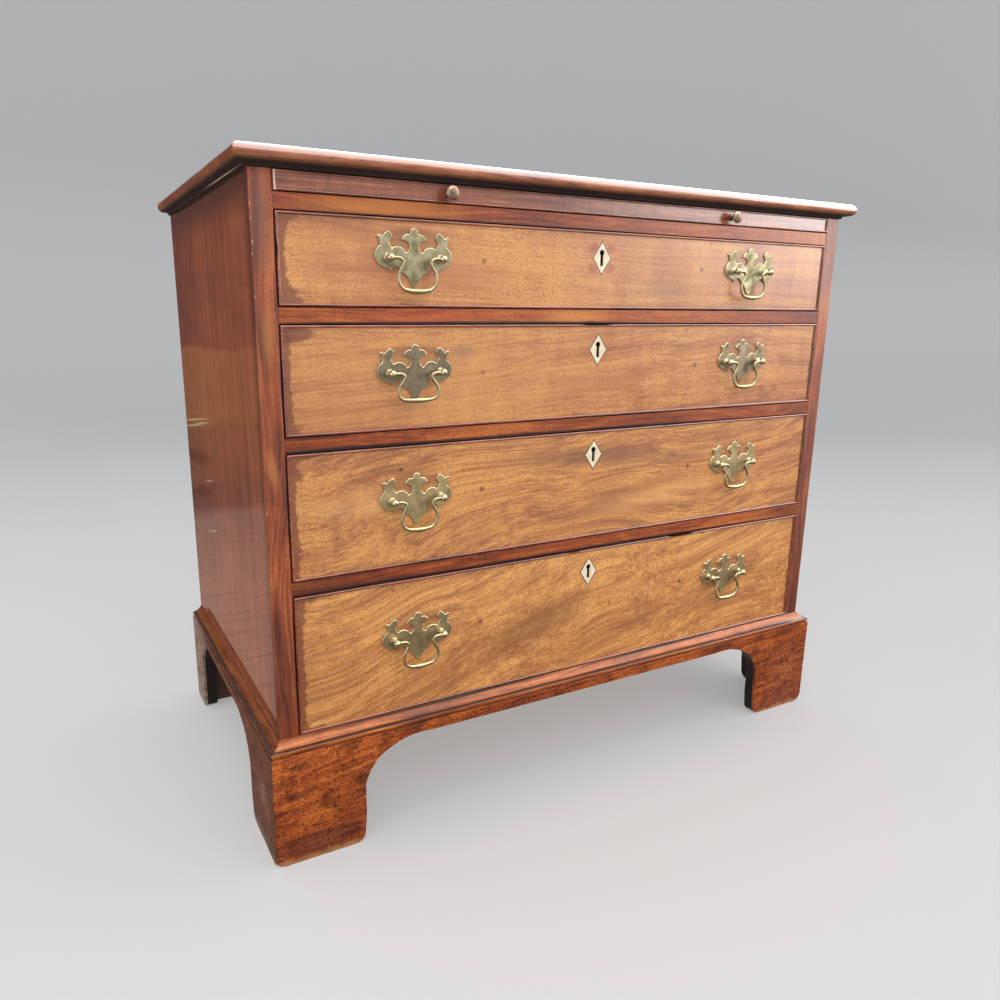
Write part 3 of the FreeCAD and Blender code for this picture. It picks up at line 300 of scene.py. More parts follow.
def softened(node: Piece, name: str, width: float, segments: int = 2) -> Piece:
    """Copy a solid's mesh as whole faces and round its edges.

    Args:
        node: the solid's object.
        name: the name of the new piece.
        width: width of the rounding, in millimetres.
        segments: faces across it.

    Returns:
        The new piece, in the same place.
    """
    mesh = node.data.copy()
    mesh.name = name
    mesh.materials.clear()
    work = bmesh.new()
    work.from_mesh(mesh)
    bmesh.ops.remove_doubles(work, verts=work.verts, dist=2e-6)
    bmesh.ops.dissolve_limit(work, angle_limit=math.radians(0.6), verts=work.verts, edges=work.edges)
    work.to_mesh(mesh)
    work.free()
    return eased(finished(name, mesh, 30.0), width, segments)


@dataclass(frozen=True)
class Knock:
    """A blow to the lower corners at the front, felt inside a box that stands in each corner.

    Where the distances of a point from the box's three inner sides have a norm over the box's size
    times the root of two, they are scaled down to it.  Lengths are in millimetres.
    """

    corner: Pair = PLINTH_CORNER
    size: float = 16.0
    step: float = 2.0
    slack: float = 1e-3

    def depths(self, spot: Vector) -> Array:
        """Measure how far a point is past the inner sides of the box in its corner."""
        x, y, z = (value / MM for value in spot)
        return self.size - np.array([self.corner[0] - abs(x), y - self.corner[1], z])

    def holds(self, item: bmesh.types.BMFace | bmesh.types.BMEdge) -> bool:
        """Tell whether a face or an edge lies inside a box."""
        return min(self.depths(vertex.co).min() for vertex in item.verts) > -self.slack

    def cut(self, work: bmesh.types.BMesh) -> None:
        """Give the boxes their points, by cuts side by side; the outermost go right round the piece."""
        for depth in np.arange(self.size, 0.0, -self.step):
            place = self.corner[0] - depth, self.corner[1] + depth, depth
            for hand, axis in ((1.0, 0), (-1.0, 0), (1.0, 1), (1.0, 2)):
                faces = [face for face in work.faces if depth == self.size or self.holds(face)]
                parts = [*faces, *(e for f in faces for e in f.edges), *(v for f in faces for v in f.verts)]
                normal = [float(number == axis) for number in range(3)]
                bmesh.ops.bisect_plane(work, geom=list(dict.fromkeys(parts)), dist=1e-6,
                                       plane_co=Vector(place) * MM * hand, plane_no=normal)

    def give(self, piece: Piece) -> None:
        """Knock a piece, and keep the rounding of its other edges out of the boxes."""
        work = bmesh.new()
        work.from_mesh(piece.data)
        self.cut(work)
        limit = self.size * math.sqrt(2.0)
        for vertex in work.verts:
            depths = self.depths(vertex.co)
            norm = np.linalg.norm(depths)
            if depths.min() > 0.0 and norm > limit:
                x, y, z = depths * limit / norm - self.size
                across = math.copysign(self.corner[0] + x, vertex.co.x)
                vertex.co = Vector((across, self.corner[1] - y, -z)) * MM
        weight = work.edges.layers.float.new("bevel_weight_edge")
        for edge in work.edges:
            edge[weight] = float(edge.calc_face_angle(0.0) > WORN_ANGLE and not self.holds(edge))
        piece.modifiers["worn_edges"].limit_method = "WEIGHT"
        work.to_mesh(piece.data)
        work.free()
        piece.data.set_sharp_from_angle(angle=math.radians(30.0))


# ---------------------------------------------------------------------------------------- finishes

# Noise keeps mostly within the wide span; the narrow one gives more contrast.
WIDE: Pair = (0.3, 0.7)
NARROW: Pair = (0.35, 0.65)


class Recipe:
    """The node tree of one finish, added to node by node; its patterns read object coordinates."""

    def __init__(self, name: str) -> None:
        """Start from a material with its shader, its output and the place on the object."""
        self.material = bpy.data.materials.new(name)
        self.material.use_nodes = True
        self.tree = self.material.node_tree
        self.place = self.add("TexCoord", {}, "Object")

    def add(self, kind: str, inputs: dict[Any, Any], output: Any = 0, **settings: Any) -> Any:
        """Add one node with its settings and links.

        Args:
            kind: the node's type without its ShaderNode prefix.
            inputs: value, hex colour or socket for each input, by name or number.
            output: which output is wanted.
            **settings: properties of the node.

        Returns:
            The wanted output socket.
        """
        node = self.tree.nodes.new(f"ShaderNode{kind}")
        for key, value in settings.items():
            setattr(node, key, value)
        self.feed(node, inputs)
        return node.outputs[output]

    def feed(self, node: bpy.types.Node, inputs: dict[Any, Any]) -> None:
        """Set or link inputs of a node."""
        for key, value in inputs.items():
            if isinstance(value, bpy.types.NodeSocket):
                self.tree.links.new(value, node.inputs[key])
            else:
                node.inputs[key].default_value = linear(value) if isinstance(value, str) else value

    def finish(self, inputs: dict[str, Any]) -> Material:
        """Feed the shader and return the material."""
        self.feed(self.tree.nodes["Principled BSDF"], inputs)
        return self.material

    def sums(self, operation: str, *values: Any) -> Any:
        """Join values one after the other with one kind of arithmetic."""
        total = values[0]
        for value in values[1:] or (0.0,):
            total = self.add("Math", {0: total, 1: value}, operation=operation)
        return total

    def vectors(self, operation: str, first: Any, second: Any = (0.0, 0.0, 0.0), output: Any = 0) -> Any:
        """Join two vectors, or work on one."""
        return self.add("VectorMath", {0: first, 1: second}, output, operation=operation)

    def axes(self, vector: Any = None) -> list[Any]:
        """Split a vector, or else the place on the object, into X, Y and Z."""
        inputs = {0: self.place if vector is None else vector}
        return self.add("SeparateXYZ", inputs, slice(0, 3))

    def spread(self, value: Any, low: float, high: float, start: float = 0.0, end: Any = 1.0) -> Any:
        """Stretch the span from low to high over start to end, and hold it there outside."""
        return self.add("MapRange", {0: value, 1: low, 2: high, 3: start, 4: end}, clamp=True)

    def blend(self, factor: Any, first: Any, second: Any) -> Any:
        """Mix two colours by a factor."""
        inputs = {MIX_FACTOR: factor, MIX_A: first, MIX_B: second}
        return self.add("Mix", inputs, MIX_RESULT, data_type="RGBA")

    def bump(self, height: Any, strength: float, distance: float) -> Any:
        """Turn heights into a normal; the distance is in millimetres."""
        inputs = {"Strength": strength, "Distance": distance * MM, "Height": height}
        return self.add("Bump", inputs, "Normal")

    def pattern(self, sizes: Corner, detail: float, place: Any = None) -> Any:
        """Draw clouds around 0.5 whose patches have real sizes, with so many finer layers.

        They are read at the given place, or else at the place on the object.
        """
        scale = tuple(1.0 / MM / size for size in sizes)
        scaled = self.vectors("MULTIPLY", self.place if place is None else place, scale)
        return self.add("TexNoise", {"Vector": scaled, "Scale": 1.0, "Detail": detail})

    def figure(self, way: Any, size: Pair, detail: float, *span: float) -> Any:
        """Draw patches of one length along the grain and one width across it, spread over a span."""
        return self.spread(self.pattern((size[0], size[1], size[1]), detail, way), *span)


@dataclass(frozen=True)
class Mark:
    """A patch that time has left on a board: an ellipsoid or a box that fades out past its core.

    The lean, in degrees, lifts its right end on the front of the chest.
    """

    at: Corner
    reach: Corner
    colour: str
    amount: float
    lean: float = 0.0
    core: float = 0.3
    square: bool = False

    def laid(self, recipe: Recipe, colour: Any) -> Any:
        """Lay the mark over a colour."""
        frame = {
            "Vector": recipe.place,
            "Location": tuple(value * MM for value in self.at),
            "Rotation": (0.0, -math.radians(self.lean), 0.0),
            "Scale": tuple(value * MM for value in self.reach),
        }
        inside = recipe.add("Mapping", frame, vector_type="TEXTURE")
        if self.square:
            away = recipe.sums("MAXIMUM", *recipe.axes(recipe.vectors("ABSOLUTE", inside)))
        else:
            away = recipe.vectors("LENGTH", inside, output="Value")
        return recipe.blend(recipe.spread(away, 1.0, self.core, 0.0, self.amount), colour, self.colour)


def front_marks(*rows: Sequence[Any]) -> tuple[Mark, ...]:
    """Put marks on the front of the chest, whatever its depth.

    A row is X, Z, half width, half height, colour and amount, and then, where they aren't the usual
    ones, lean, core and square.
    """
    return tuple(Mark((x, 0.0, z), (wide, FAR, tall), *more) for x, z, wide, tall, *more in rows)


@dataclass(frozen=True)
class Timber:
    """A waxed or dry board.

    Mahogany is open-pored: short dark dashes lie along the grain, bands of light and dark flow past
    them, and old wax gives a soft gloss over all of it.  Real pores are about 0.2 mm wide; they are
    drawn about 1 mm wide, because finer ones would only flicker.  Sizes are (along, across) the grain
    in millimetres, shares and depths are parts of the whole tone.
    """

    name: str
    grain: Grain
    pale: str
    middle: str
    dark: str
    # Tones at which the dark, the middle and the pale colour are pure.
    tones: Corner = (0.26, 0.5, 0.74)
    pore: str = "#4A1F10"
    flow: float = 10.0
    flow_length: float = 300.0
    slant: float = 0.0
    shift: Corner = (0.0, 0.0, 0.0)
    bands: Pair = (420.0, 16.0)
    band_part: float = 0.52
    streaks: Pair = (140.0, 2.6)
    clouds: Pair = (260.0, 120.0)
    cloud_share: float = 0.25
    pores: Pair = (6.0, 0.9)
    pore_span: Pair = (0.58, 0.7)
    pore_depth: float = 0.55
    fleck: str = "#8C4826"
    flecks: Pair = (2.8, 1.0)
    fleck_span: Pair = (0.54, 0.64)
    fleck_depth: float = 0.65
    ribbon: Pair = (26.0, 90.0)
    ribbon_share: float = 0.15
    marks: tuple[Mark, ...] = ()
    roughness: float = 0.36
    roughness_range: Pair = (-0.04, 0.06)
    coat: float = 0.3
    coat_roughness: float = 0.16
    specular: float = 0.5
    # Dust dulls everything under the first height; over the second one the polish is clean.
    dusty: Pair = (-2.0, -1.0)
    dust_roughness: float = 0.95
    # The surface ripples under the first height; over the second one the least is left of it.
    ripple: float = 0.2
    ripple_size: Corner = (90.0, 60.0, 60.0)
    ripple_fade: Pair = (1900.0, 2000.0)
    ripple_least: float = 0.08
    pore_relief: float = 0.06
    relief_strength: float = 0.6
    relief_depth: float = 2.0

    def build(self) -> Material:
        """Make the material: tone, flecks, pores and marks, and then dust and relief."""
        recipe = Recipe(self.name)
        way = self.way(recipe)
        grain_share = 1.0 - self.ribbon_share - self.cloud_share
        layers = [
            (recipe.figure(way, size, detail, *WIDE), share)
            for size, detail, share in (
                (self.bands, 3.0, grain_share * self.band_part),
                (self.streaks, 2.0, grain_share * (1.0 - self.band_part)),
                (self.ribbon, 2.0, self.ribbon_share),
                (self.clouds, 1.0, self.cloud_share),
            )
        ]
        tone = recipe.sums("ADD", *(recipe.sums("MULTIPLY", *layer) for layer in layers))
        colour = recipe.blend(recipe.spread(tone, *self.tones[:2]), self.dark, self.middle)
        colour = recipe.blend(recipe.spread(tone, *self.tones[1:]), colour, self.pale)
        fleck = recipe.figure(way, self.flecks, 1.0, *self.fleck_span)
        colour = recipe.blend(recipe.sums("MULTIPLY", fleck, self.fleck_depth), colour, self.fleck)
        thick = recipe.figure(way, (90.0, 30.0), 1.0, *NARROW, 0.15, 1.0)
        pore = recipe.figure(way, self.pores, 1.0, *self.pore_span)
        pore = recipe.sums("MULTIPLY", pore, thick, self.pore_depth)
        colour = self.marked(recipe, recipe.blend(pore, colour, self.pore))
        height = recipe.axes()[2]
        dust = [edge * MM for edge in self.dusty]
        low, high = (self.roughness + change for change in self.roughness_range)
        rough = recipe.spread(layers[1][0], 0.0, 1.0, low, high)
        dull = recipe.spread(height, *dust, self.dust_roughness, 0.0)
        full, none = (edge * MM for edge in self.ripple_fade)
        rippled = recipe.spread(height, none, full, self.ripple_least, 1.0)
        swell = recipe.sums("MULTIPLY", recipe.pattern(self.ripple_size, 1.0), self.ripple, rippled)
        relief = recipe.sums("SUBTRACT", swell, recipe.sums("MULTIPLY", pore, self.pore_relief))
        return recipe.finish({
            "Base Color": colour,
            "Roughness": recipe.sums("MAXIMUM", rough, dull),
            "Normal": recipe.bump(relief, self.relief_strength, self.relief_depth),
            "Specular IOR Level": self.specular,
            "Coat Weight": recipe.spread(height, *dust, 0.0, self.coat),
            "Coat Roughness": self.coat_roughness,
        })

    def way(self, recipe: Recipe) -> Any:
        """Lay the grain along the board and let it drift sideways, up to the flow either way."""
        x, y, z = self.grain.value
        turn = (x, y + math.radians(self.slant), z)
        laid = recipe.add("Mapping", {"Vector": recipe.place, "Rotation": turn, "Location": self.shift})
        noise = {"Vector": laid, "Scale": 1.0 / MM / self.flow_length, "Detail": 1.5}
        drift = recipe.vectors("SUBTRACT", recipe.add("TexNoise", noise, "Color"), (0.5, 0.5, 0.5))
        # Noise seldom strays further than a fifth from its middle.
        reach = 5.0 * self.flow * MM
        return recipe.vectors("ADD", laid, recipe.vectors("MULTIPLY", drift, (0.0, reach, reach)))

    def marked(self, recipe: Recipe, colour: Any) -> Any:
        """Lay the marks of age over the colour."""
        for mark in self.marks:
            colour = mark.laid(recipe, colour)
        return colour


@dataclass(frozen=True)
class DrawerTimber(Timber):
    """The faded face of a drawer, with a dark ragged stain left where light and cloth didn't reach.

    The stain lies where the sum over the four edges (left, right, lower, upper) of width / distance,
    with some noise, is more than one.
    """

    low: float = 0.0
    high: float = 0.0
    borders: tuple[float, float, float, float] = (7.2, 2.6, 1.2, 1.4)
    nearest: float = 0.4
    stain: str = "#743820"
    stain_depth: float = 0.78

    def marked(self, recipe: Recipe, colour: Any) -> Any:
        """Add the marks, then the stain along the edges."""
        x, _, z = recipe.axes()
        distances = (
            recipe.sums("ADD", x, DRAWER_HALF * MM),
            recipe.sums("SUBTRACT", DRAWER_HALF * MM, x),
            recipe.sums("SUBTRACT", z, self.low * MM),
            recipe.sums("SUBTRACT", self.high * MM, z),
        )
        pulls = [
            recipe.sums("DIVIDE", width * MM, recipe.sums("MAXIMUM", distance, self.nearest * MM))
            for width, distance in zip(self.borders, distances)
        ]
        slow = recipe.spread(recipe.pattern((60.0, 20.0, 34.0), 2.0), *WIDE, -0.6, 0.5)
        quick = recipe.spread(recipe.pattern((12.0, 20.0, 7.0), 4.0), *WIDE, -0.42, 0.42)
        edge = recipe.spread(recipe.sums("ADD", slow, quick, *pulls), 0.8, 1.2, 0.0, self.stain_depth)
        return recipe.blend(edge, super().marked(recipe, colour), self.stain)


@dataclass(frozen=True)
class FootTimber(Timber):
    """Orange-brown mahogany of the plinth: mottled, specked with dark knocks, worn pale underneath.

    Only the outer faces were ever polished; the cut edges and the insides are raw, and are painted near
    black with the shade under the chest.
    """

    speck: str = "#2A0F07"
    worn: str = "#B07E50"
    raw_and_shaded: str = "#1C130F"
    knock_depth: float = 0.7
    # The worn lower edge fades out between these heights, which waver by the raggedness.
    bare: Pair = (8.0, 2.0)
    raggedness: float = 5.0
    # Distances from the middle, aside and ahead, past which the faces are polished.
    polished_from: Pair = (451.0, 249.4)

    def marked(self, recipe: Recipe, colour: Any) -> Any:
        """Add clouds, knocks, the worn lower edge and the raw inner faces, painted with shade."""
        colour = super().marked(recipe, colour)
        for sizes, detail, low, high, tint in (
            ((24.0, 24.0, 14.0), 4.0, 0.46, 0.68, self.dark),
            ((6.0, 6.0, 3.6), 2.0, 0.6, 0.7, self.speck),
            ((2.8, 2.8, 1.7), 2.0, 0.53, 0.66, self.speck),
        ):
            spots = recipe.spread(recipe.pattern(sizes, detail), low, high, 0.0, self.knock_depth)
            colour = recipe.blend(spots, colour, tint)
        x, y, z = recipe.axes()
        sway = self.raggedness * MM
        ragged = recipe.spread(recipe.pattern((16.0, 16.0, 16.0), 3.0), 0.2, 0.8, -sway, sway)
        high, low = (edge * MM for edge in self.bare)
        bare = recipe.spread(recipe.sums("ADD", z, ragged), high, low, 0.0, self.knock_depth)
        colour = recipe.blend(bare, colour, self.worn)
        # The raw faces are painted near black with the shade under the chest.
        aside = recipe.sums("SUBTRACT", recipe.sums("ABSOLUTE", x), self.polished_from[0] * MM)
        ahead = recipe.sums("SUBTRACT", recipe.sums("MULTIPLY", y, -1.0), self.polished_from[1] * MM)
        outer = recipe.spread(recipe.sums("MAXIMUM", aside, ahead), -0.4 * MM, 0.6 * MM)
        return recipe.blend(outer, self.raw_and_shaded, colour)


@dataclass(frozen=True)
class Brass:
    """Old brass: an olive-brown skin of tarnish, with the filed edges and high spots rubbed bright."""

    name: str
    bright: str = "#DCCFAE"
    dull: str = "#95855A"
    deep: str = "#6E6142"
    roughness: float = 0.36
    skin: float = 0.92

    def build(self) -> Material:
        """Make the material; the skin lies on what faces the front or the back."""
        recipe = Recipe(self.name)
        cloud = recipe.pattern((14.0, 14.0, 14.0), 4.0)
        skin = recipe.blend(recipe.spread(cloud, *NARROW), self.dull, self.deep)
        facing = recipe.sums("ABSOLUTE", recipe.axes(recipe.add("TexCoord", {}, "Normal"))[1])
        flat = recipe.spread(facing, 0.9, 0.985, 0.1, self.skin)
        return recipe.finish({
            "Base Color": recipe.blend(flat, self.bright, skin),
            "Metallic": 1.0,
            "Roughness": recipe.spread(cloud, *WIDE, self.roughness - 0.06, self.roughness + 0.1),
            "Normal": recipe.bump(recipe.pattern((1.6, 1.6, 1.6), 2.0), 0.25, 0.3),
        })


@dataclass(frozen=True)
class Bone:
    """Polished bone of a keyhole diamond, ivory in the middle and grimy where it meets the wood.

    Its fine fibres are drawn coarser than they are, 1.2 mm wide, so that they don't flicker.
    """

    name: str
    middle: float
    half_width: float = 14.5
    half_height: float = 21.0
    pale: str = "#EDE0C6"
    warm: str = "#D8C39C"
    grime_and_shade: str = "#3B2317"

    def build(self) -> Material:
        """Make the material; the grime follows |x| / half width + |z| / half height."""
        recipe = Recipe(self.name)
        x, _, z = recipe.axes()
        across = recipe.sums("DIVIDE", recipe.sums("ABSOLUTE", x), self.half_width * MM)
        rise = recipe.sums("ABSOLUTE", recipe.sums("SUBTRACT", z, self.middle * MM))
        edge = recipe.sums("ADD", across, recipe.sums("DIVIDE", rise, self.half_height * MM))
        fibre = recipe.spread(recipe.pattern((1.2, 1.2, 9.0), 2.0), *NARROW)
        colour = recipe.blend(fibre, self.pale, self.warm)
        colour = recipe.blend(recipe.spread(edge, 0.85, 0.95), colour, self.grime_and_shade)
        return recipe.finish({"Base Color": colour, "Roughness": 0.3, "Coat Weight": 0.2})


@dataclass(frozen=True)
class Iron:
    """Filed iron of a lock bolt: grey, with a dull brown bloom of rust."""

    name: str
    filed: str = "#8E8A84"
    rusty: str = "#5C4433"

    def build(self) -> Material:
        """Make the material."""
        recipe = Recipe(self.name)
        bloom = recipe.spread(recipe.pattern((6.0, 6.0, 6.0), 4.0), 0.4, 0.7)
        rough = recipe.spread(bloom, 0.0, 1.0, 0.35, 0.65)
        colour = recipe.blend(bloom, self.filed, self.rusty)
        return recipe.finish({"Base Color": colour, "Metallic": 1.0, "Roughness": rough})


def heights(node: str) -> Pair:
    """Give the low and the high side of a solid, in millimetres."""
    low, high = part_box(node)
    return low.z / MM, high.z / MM


def dress(piece: Piece, material: Material) -> None:
    """Give a piece one material all over."""
    piece.data.materials.clear()
    piece.data.materials.append(material)


def hand_over(piece: Piece, body: str, slot: str, material: Material, *nodes: str) -> None:
    """Dress a new piece, put it on its body and let it stand for solids.

    Args:
        piece: the new piece.
        body: the body it moves with.
        slot: the record's material slot; not used.
        material: its material.
        *nodes: the solids it stands for.
    """
    dress(piece, material)
    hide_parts(*nodes)
    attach(piece, body)
    LOG.info("%s rides on %s and stands for %s", piece.name, body, ", ".join(nodes))


# ------------------------------------------------------------------------------------- the carcase

# Tones of a board: pale, middle and dark.
RED_MAHOGANY = ("#BA6426", "#944015", "#5C210C")
SHADED_MAHOGANY = ("#BC673C", "#A2502A", "#7C381E")
# Painted shade in the gaps between parts, and the dark of real nicks and bites.
GAP_SHADE_AND_NICK = "#1E0C08"
GOLDEN = "#CE8438"
PALE_NICK = "#D9C6B4"
KNOT = "#31100A"

# Patches, nicks and painted shade in the gaps beside the drawers, in the order in which they are laid.
FACING_NICKS = ((-439.4, 752, 2.6), (-439, 738, 1.6), (-438.8, 716, 3),
                (-439.2, 704, 1.6), (-439, 662, 1.2), (-439.3, 433, 2))
FACING_MARKS = front_marks(
    (-428, 625, 9, 42, GOLDEN, 0.4),
    (-431, 480, 8, 30, GOLDEN, 0.4, 8),
    (-430, 740, 14, 70, "#54342E", 0.6),
    (430, 740, 20, 110, "#5A3028", 0.5),
    (-430, 230, 20, 130, "#451A10", 0.35),
    (-419.4, 578, 3.6, 16.5, "#3A140A", 0.75, 0, 0.93, True),
    (-419.4, 578, 3, 15.6, "#9A4424", 0.9, 0, 0.95, True),
    (430, 230, 20, 260, "#4A1E1A", 0.55),
    # Painted shade in the gaps beside the drawers.
    (-415.4, 424, 2.4, 78, GAP_SHADE_AND_NICK, 0.9, 0, 0.7),
    (-415.2, 246, 2.8, 92, GAP_SHADE_AND_NICK, 0.9, 0, 0.75),
    (-415.5, 574, 2.2, 62, GAP_SHADE_AND_NICK, 0.85, 0, 0.75),
    (-415.5, 700, 2, 50, GAP_SHADE_AND_NICK, 0.85, 0, 0.75),
    (415.5, 574, 2.2, 62, GAP_SHADE_AND_NICK, 0.85, 0, 0.75),
    (415.5, 700, 2, 50, GAP_SHADE_AND_NICK, 0.7, 0, 0.75),
    (415.4, 424, 2.4, 76, GAP_SHADE_AND_NICK, 0.85, 0, 0.75),
    (415.2, 246, 2.8, 90, GAP_SHADE_AND_NICK, 0.85, 0, 0.75),
    *((x, z, 0.6, tall, PALE_NICK, 0.7) for x, z, tall in FACING_NICKS),
)
RAIL_MARKS = front_marks(
    (-38, 643, 70, 10, GOLDEN, 0.7),
    (-300, 757, 120, 12, GOLDEN, 0.5),
    (-240, 643, 110, 10, "#B4502A", 0.45),
    (-13, 635.5, 16, 3.6, GAP_SHADE_AND_NICK, 0.9),
    (12, 498, 18, 3, GAP_SHADE_AND_NICK, 0.8),
    (8, 333.5, 20, 3.4, GAP_SHADE_AND_NICK, 0.8),
    # Painted shade along the gaps over the drawers.
    (-150, 748.7, 300, 1.8, GAP_SHADE_AND_NICK, 0.75, 0, 0.6),
    (-160, 635.2, 330, 2.8, GAP_SHADE_AND_NICK, 0.9, 0, 0.7),
    (-150, 497.4, 420, 3.3, GAP_SHADE_AND_NICK, 0.9, 0, 0.7),
    (-60, 332.9, 480, 3.1, GAP_SHADE_AND_NICK, 0.9, 0, 0.7),
    (-330, 497.6, 130, 3.8, GAP_SHADE_AND_NICK, 0.85, 0, 0.6),
    (-330, 333, 150, 3.4, GAP_SHADE_AND_NICK, 0.85, 0, 0.6),
    (-390, 341, 60, 12, "#4A2014", 0.5),
    (390, 341, 70, 12, "#471A12", 0.55),
    (380, 505, 60, 12, "#52201A", 0.4),
)
PLINTH_MARKS = front_marks(
    (-345, 90, 16, 12, KNOT, 0.7),
    (-392, 80, 7, 6, KNOT, 0.7),
    (-430, 90, 9, 8, "#3A140A", 0.5),
    (-395, 20, 70, 22, "#6A3A2A", 0.5),
    (-425, 128, 26, 5, "#30150E", 0.6),
    (400, 22, 60, 24, "#7A3E2E", 0.5),
    (-395, 60, 30, 16, "#C06A1E", 0.35),
    (405, 70, 26, 18, "#C06A1E", 0.35),
    (410, 60, 60, 70, "#A8644A", 0.3),
)


def path(start: Pair, end: Pair, z: float, outward: Pair, count: int) -> tuple[Array, Array]:
    """Lay out stations along a straight line at one height.

    Args:
        start: X and Y of the first station.
        end: X and Y of the last.
        z: their height.
        outward: the direction that leads away from the chest.
        count: how many stations.

    Returns:
        Bases and outward directions, one row each.
    """
    return np.linspace((*start, z), (*end, z), count), np.repeat([(*outward, 0.0)], count, axis=0)


@dataclass
class Carcase:
    """Sides, facings, rails and the boards inside."""

    nodes: dict[str, Piece]
    facing_wear: float = 1.0
    rail_wear: float = 0.5

    def build(self) -> None:
        """Dress the boards and draw the worn facings and rails again."""
        self.sides()
        self.facings()
        self.rails()
        self.inside()

    def sides(self) -> None:
        """French polish the sides: a glassy skin that mirrors the room, and is dark along its edges, with a
        painted shadow under the top's overhang.
        """
        edges = (
            Mark((0, -236, 480), (FAR, 22, FAR), "#3A160C", 0.5),
            Mark((0, 255, 480), (FAR, 190, FAR), "#3A140C", 0.5, core=0.1),
            # Painted shadow under the top's overhang.
            Mark((0, 0, 787), (FAR, FAR, 46), "#1C0A08", 0.8),
            Mark((0, 0, 143), (FAR, FAR, 45), "#A04A1C", 0.5),
        )
        wood = Timber("mahogany_french_polished_side", Grain.UPRIGHT, *SHADED_MAHOGANY, flow=6.0,
                      roughness=0.4, bands=(900.0, 16.0), streaks=(300.0, 3.0), pore_depth=0.25,
                      marks=edges, coat=1.0, coat_roughness=0.035, specular=0.2, fleck="#7A3520",
                      ripple=0.3, ripple_size=(60.0, 80.0, 7.0), ripple_fade=(260.0, 420.0)).build()
        for hand in ("left", "right"):
            dress(self.nodes[f"carcase_side_{hand}"], wood)

    def facings(self) -> None:
        """Draw the waxed facing strips: dull red, with worn corners, a let-in patch, pale nicks and painted
        shade in the gaps beside the drawers.
        """
        wood = Timber("mahogany_waxed_facing", Grain.UPRIGHT, *RED_MAHOGANY, shift=(0.0, 0.4, 0.0),
                      marks=FACING_MARKS, cloud_share=0.4, clouds=(110.0, 26.0), bands=(260.0, 7.0),
                      ribbon_share=0.05, roughness=0.42, coat=0.12, fleck="#5C2612", fleck_depth=0.5)
        self.worn("facing_strips", self.facing_wear, wood)

    def rails(self) -> None:
        """Draw the waxed rails: fine ribbon figure, painted shade along the gaps under them, and bites of
        the bolts above each lock.
        """
        wood = Timber("mahogany_waxed_rail", Grain.ACROSS, *RED_MAHOGANY, shift=(0.3, 0.0, 0.7),
                      marks=RAIL_MARKS, ribbon=(2.6, 60.0), ribbon_share=0.1, bands=(200.0, 7.0),
                      cloud_share=0.35, coat=0.15, specular=0.35, fleck="#5C2612", fleck_depth=0.6)
        self.worn("drawer_rails", self.rail_wear, wood)

    def worn(self, name: str, wear: float, wood: Timber) -> None:
        """Let a worn copy stand for one of the carcase's solids."""
        piece = softened(self.nodes[name], f"{name}_worn", wear)
        hand_over(piece, "carcase", "mahogany_carcase", wood.build(), name)

    def inside(self) -> None:
        """Dress the dry planed pine, dull and pale, that only shows when something is open."""
        across, deep = (
            Timber(f"pine_planed_{grain.name.lower()}", grain, "#A37C50", "#8A6440", "#6A482C",
                   pore="#4A3020", roughness=0.7, coat=0.0, pore_depth=0.3, bands=(length, 9.0)).build()
            for grain, length in ((Grain.ACROSS, 700.0), (Grain.DEEP, 500.0))
        )
        for name in ("bottom_board", "back_boards", "dustboards", "drawer_stops"):
            dress(self.nodes[name], across)
        dress(self.nodes["drawer_runners"], deep)


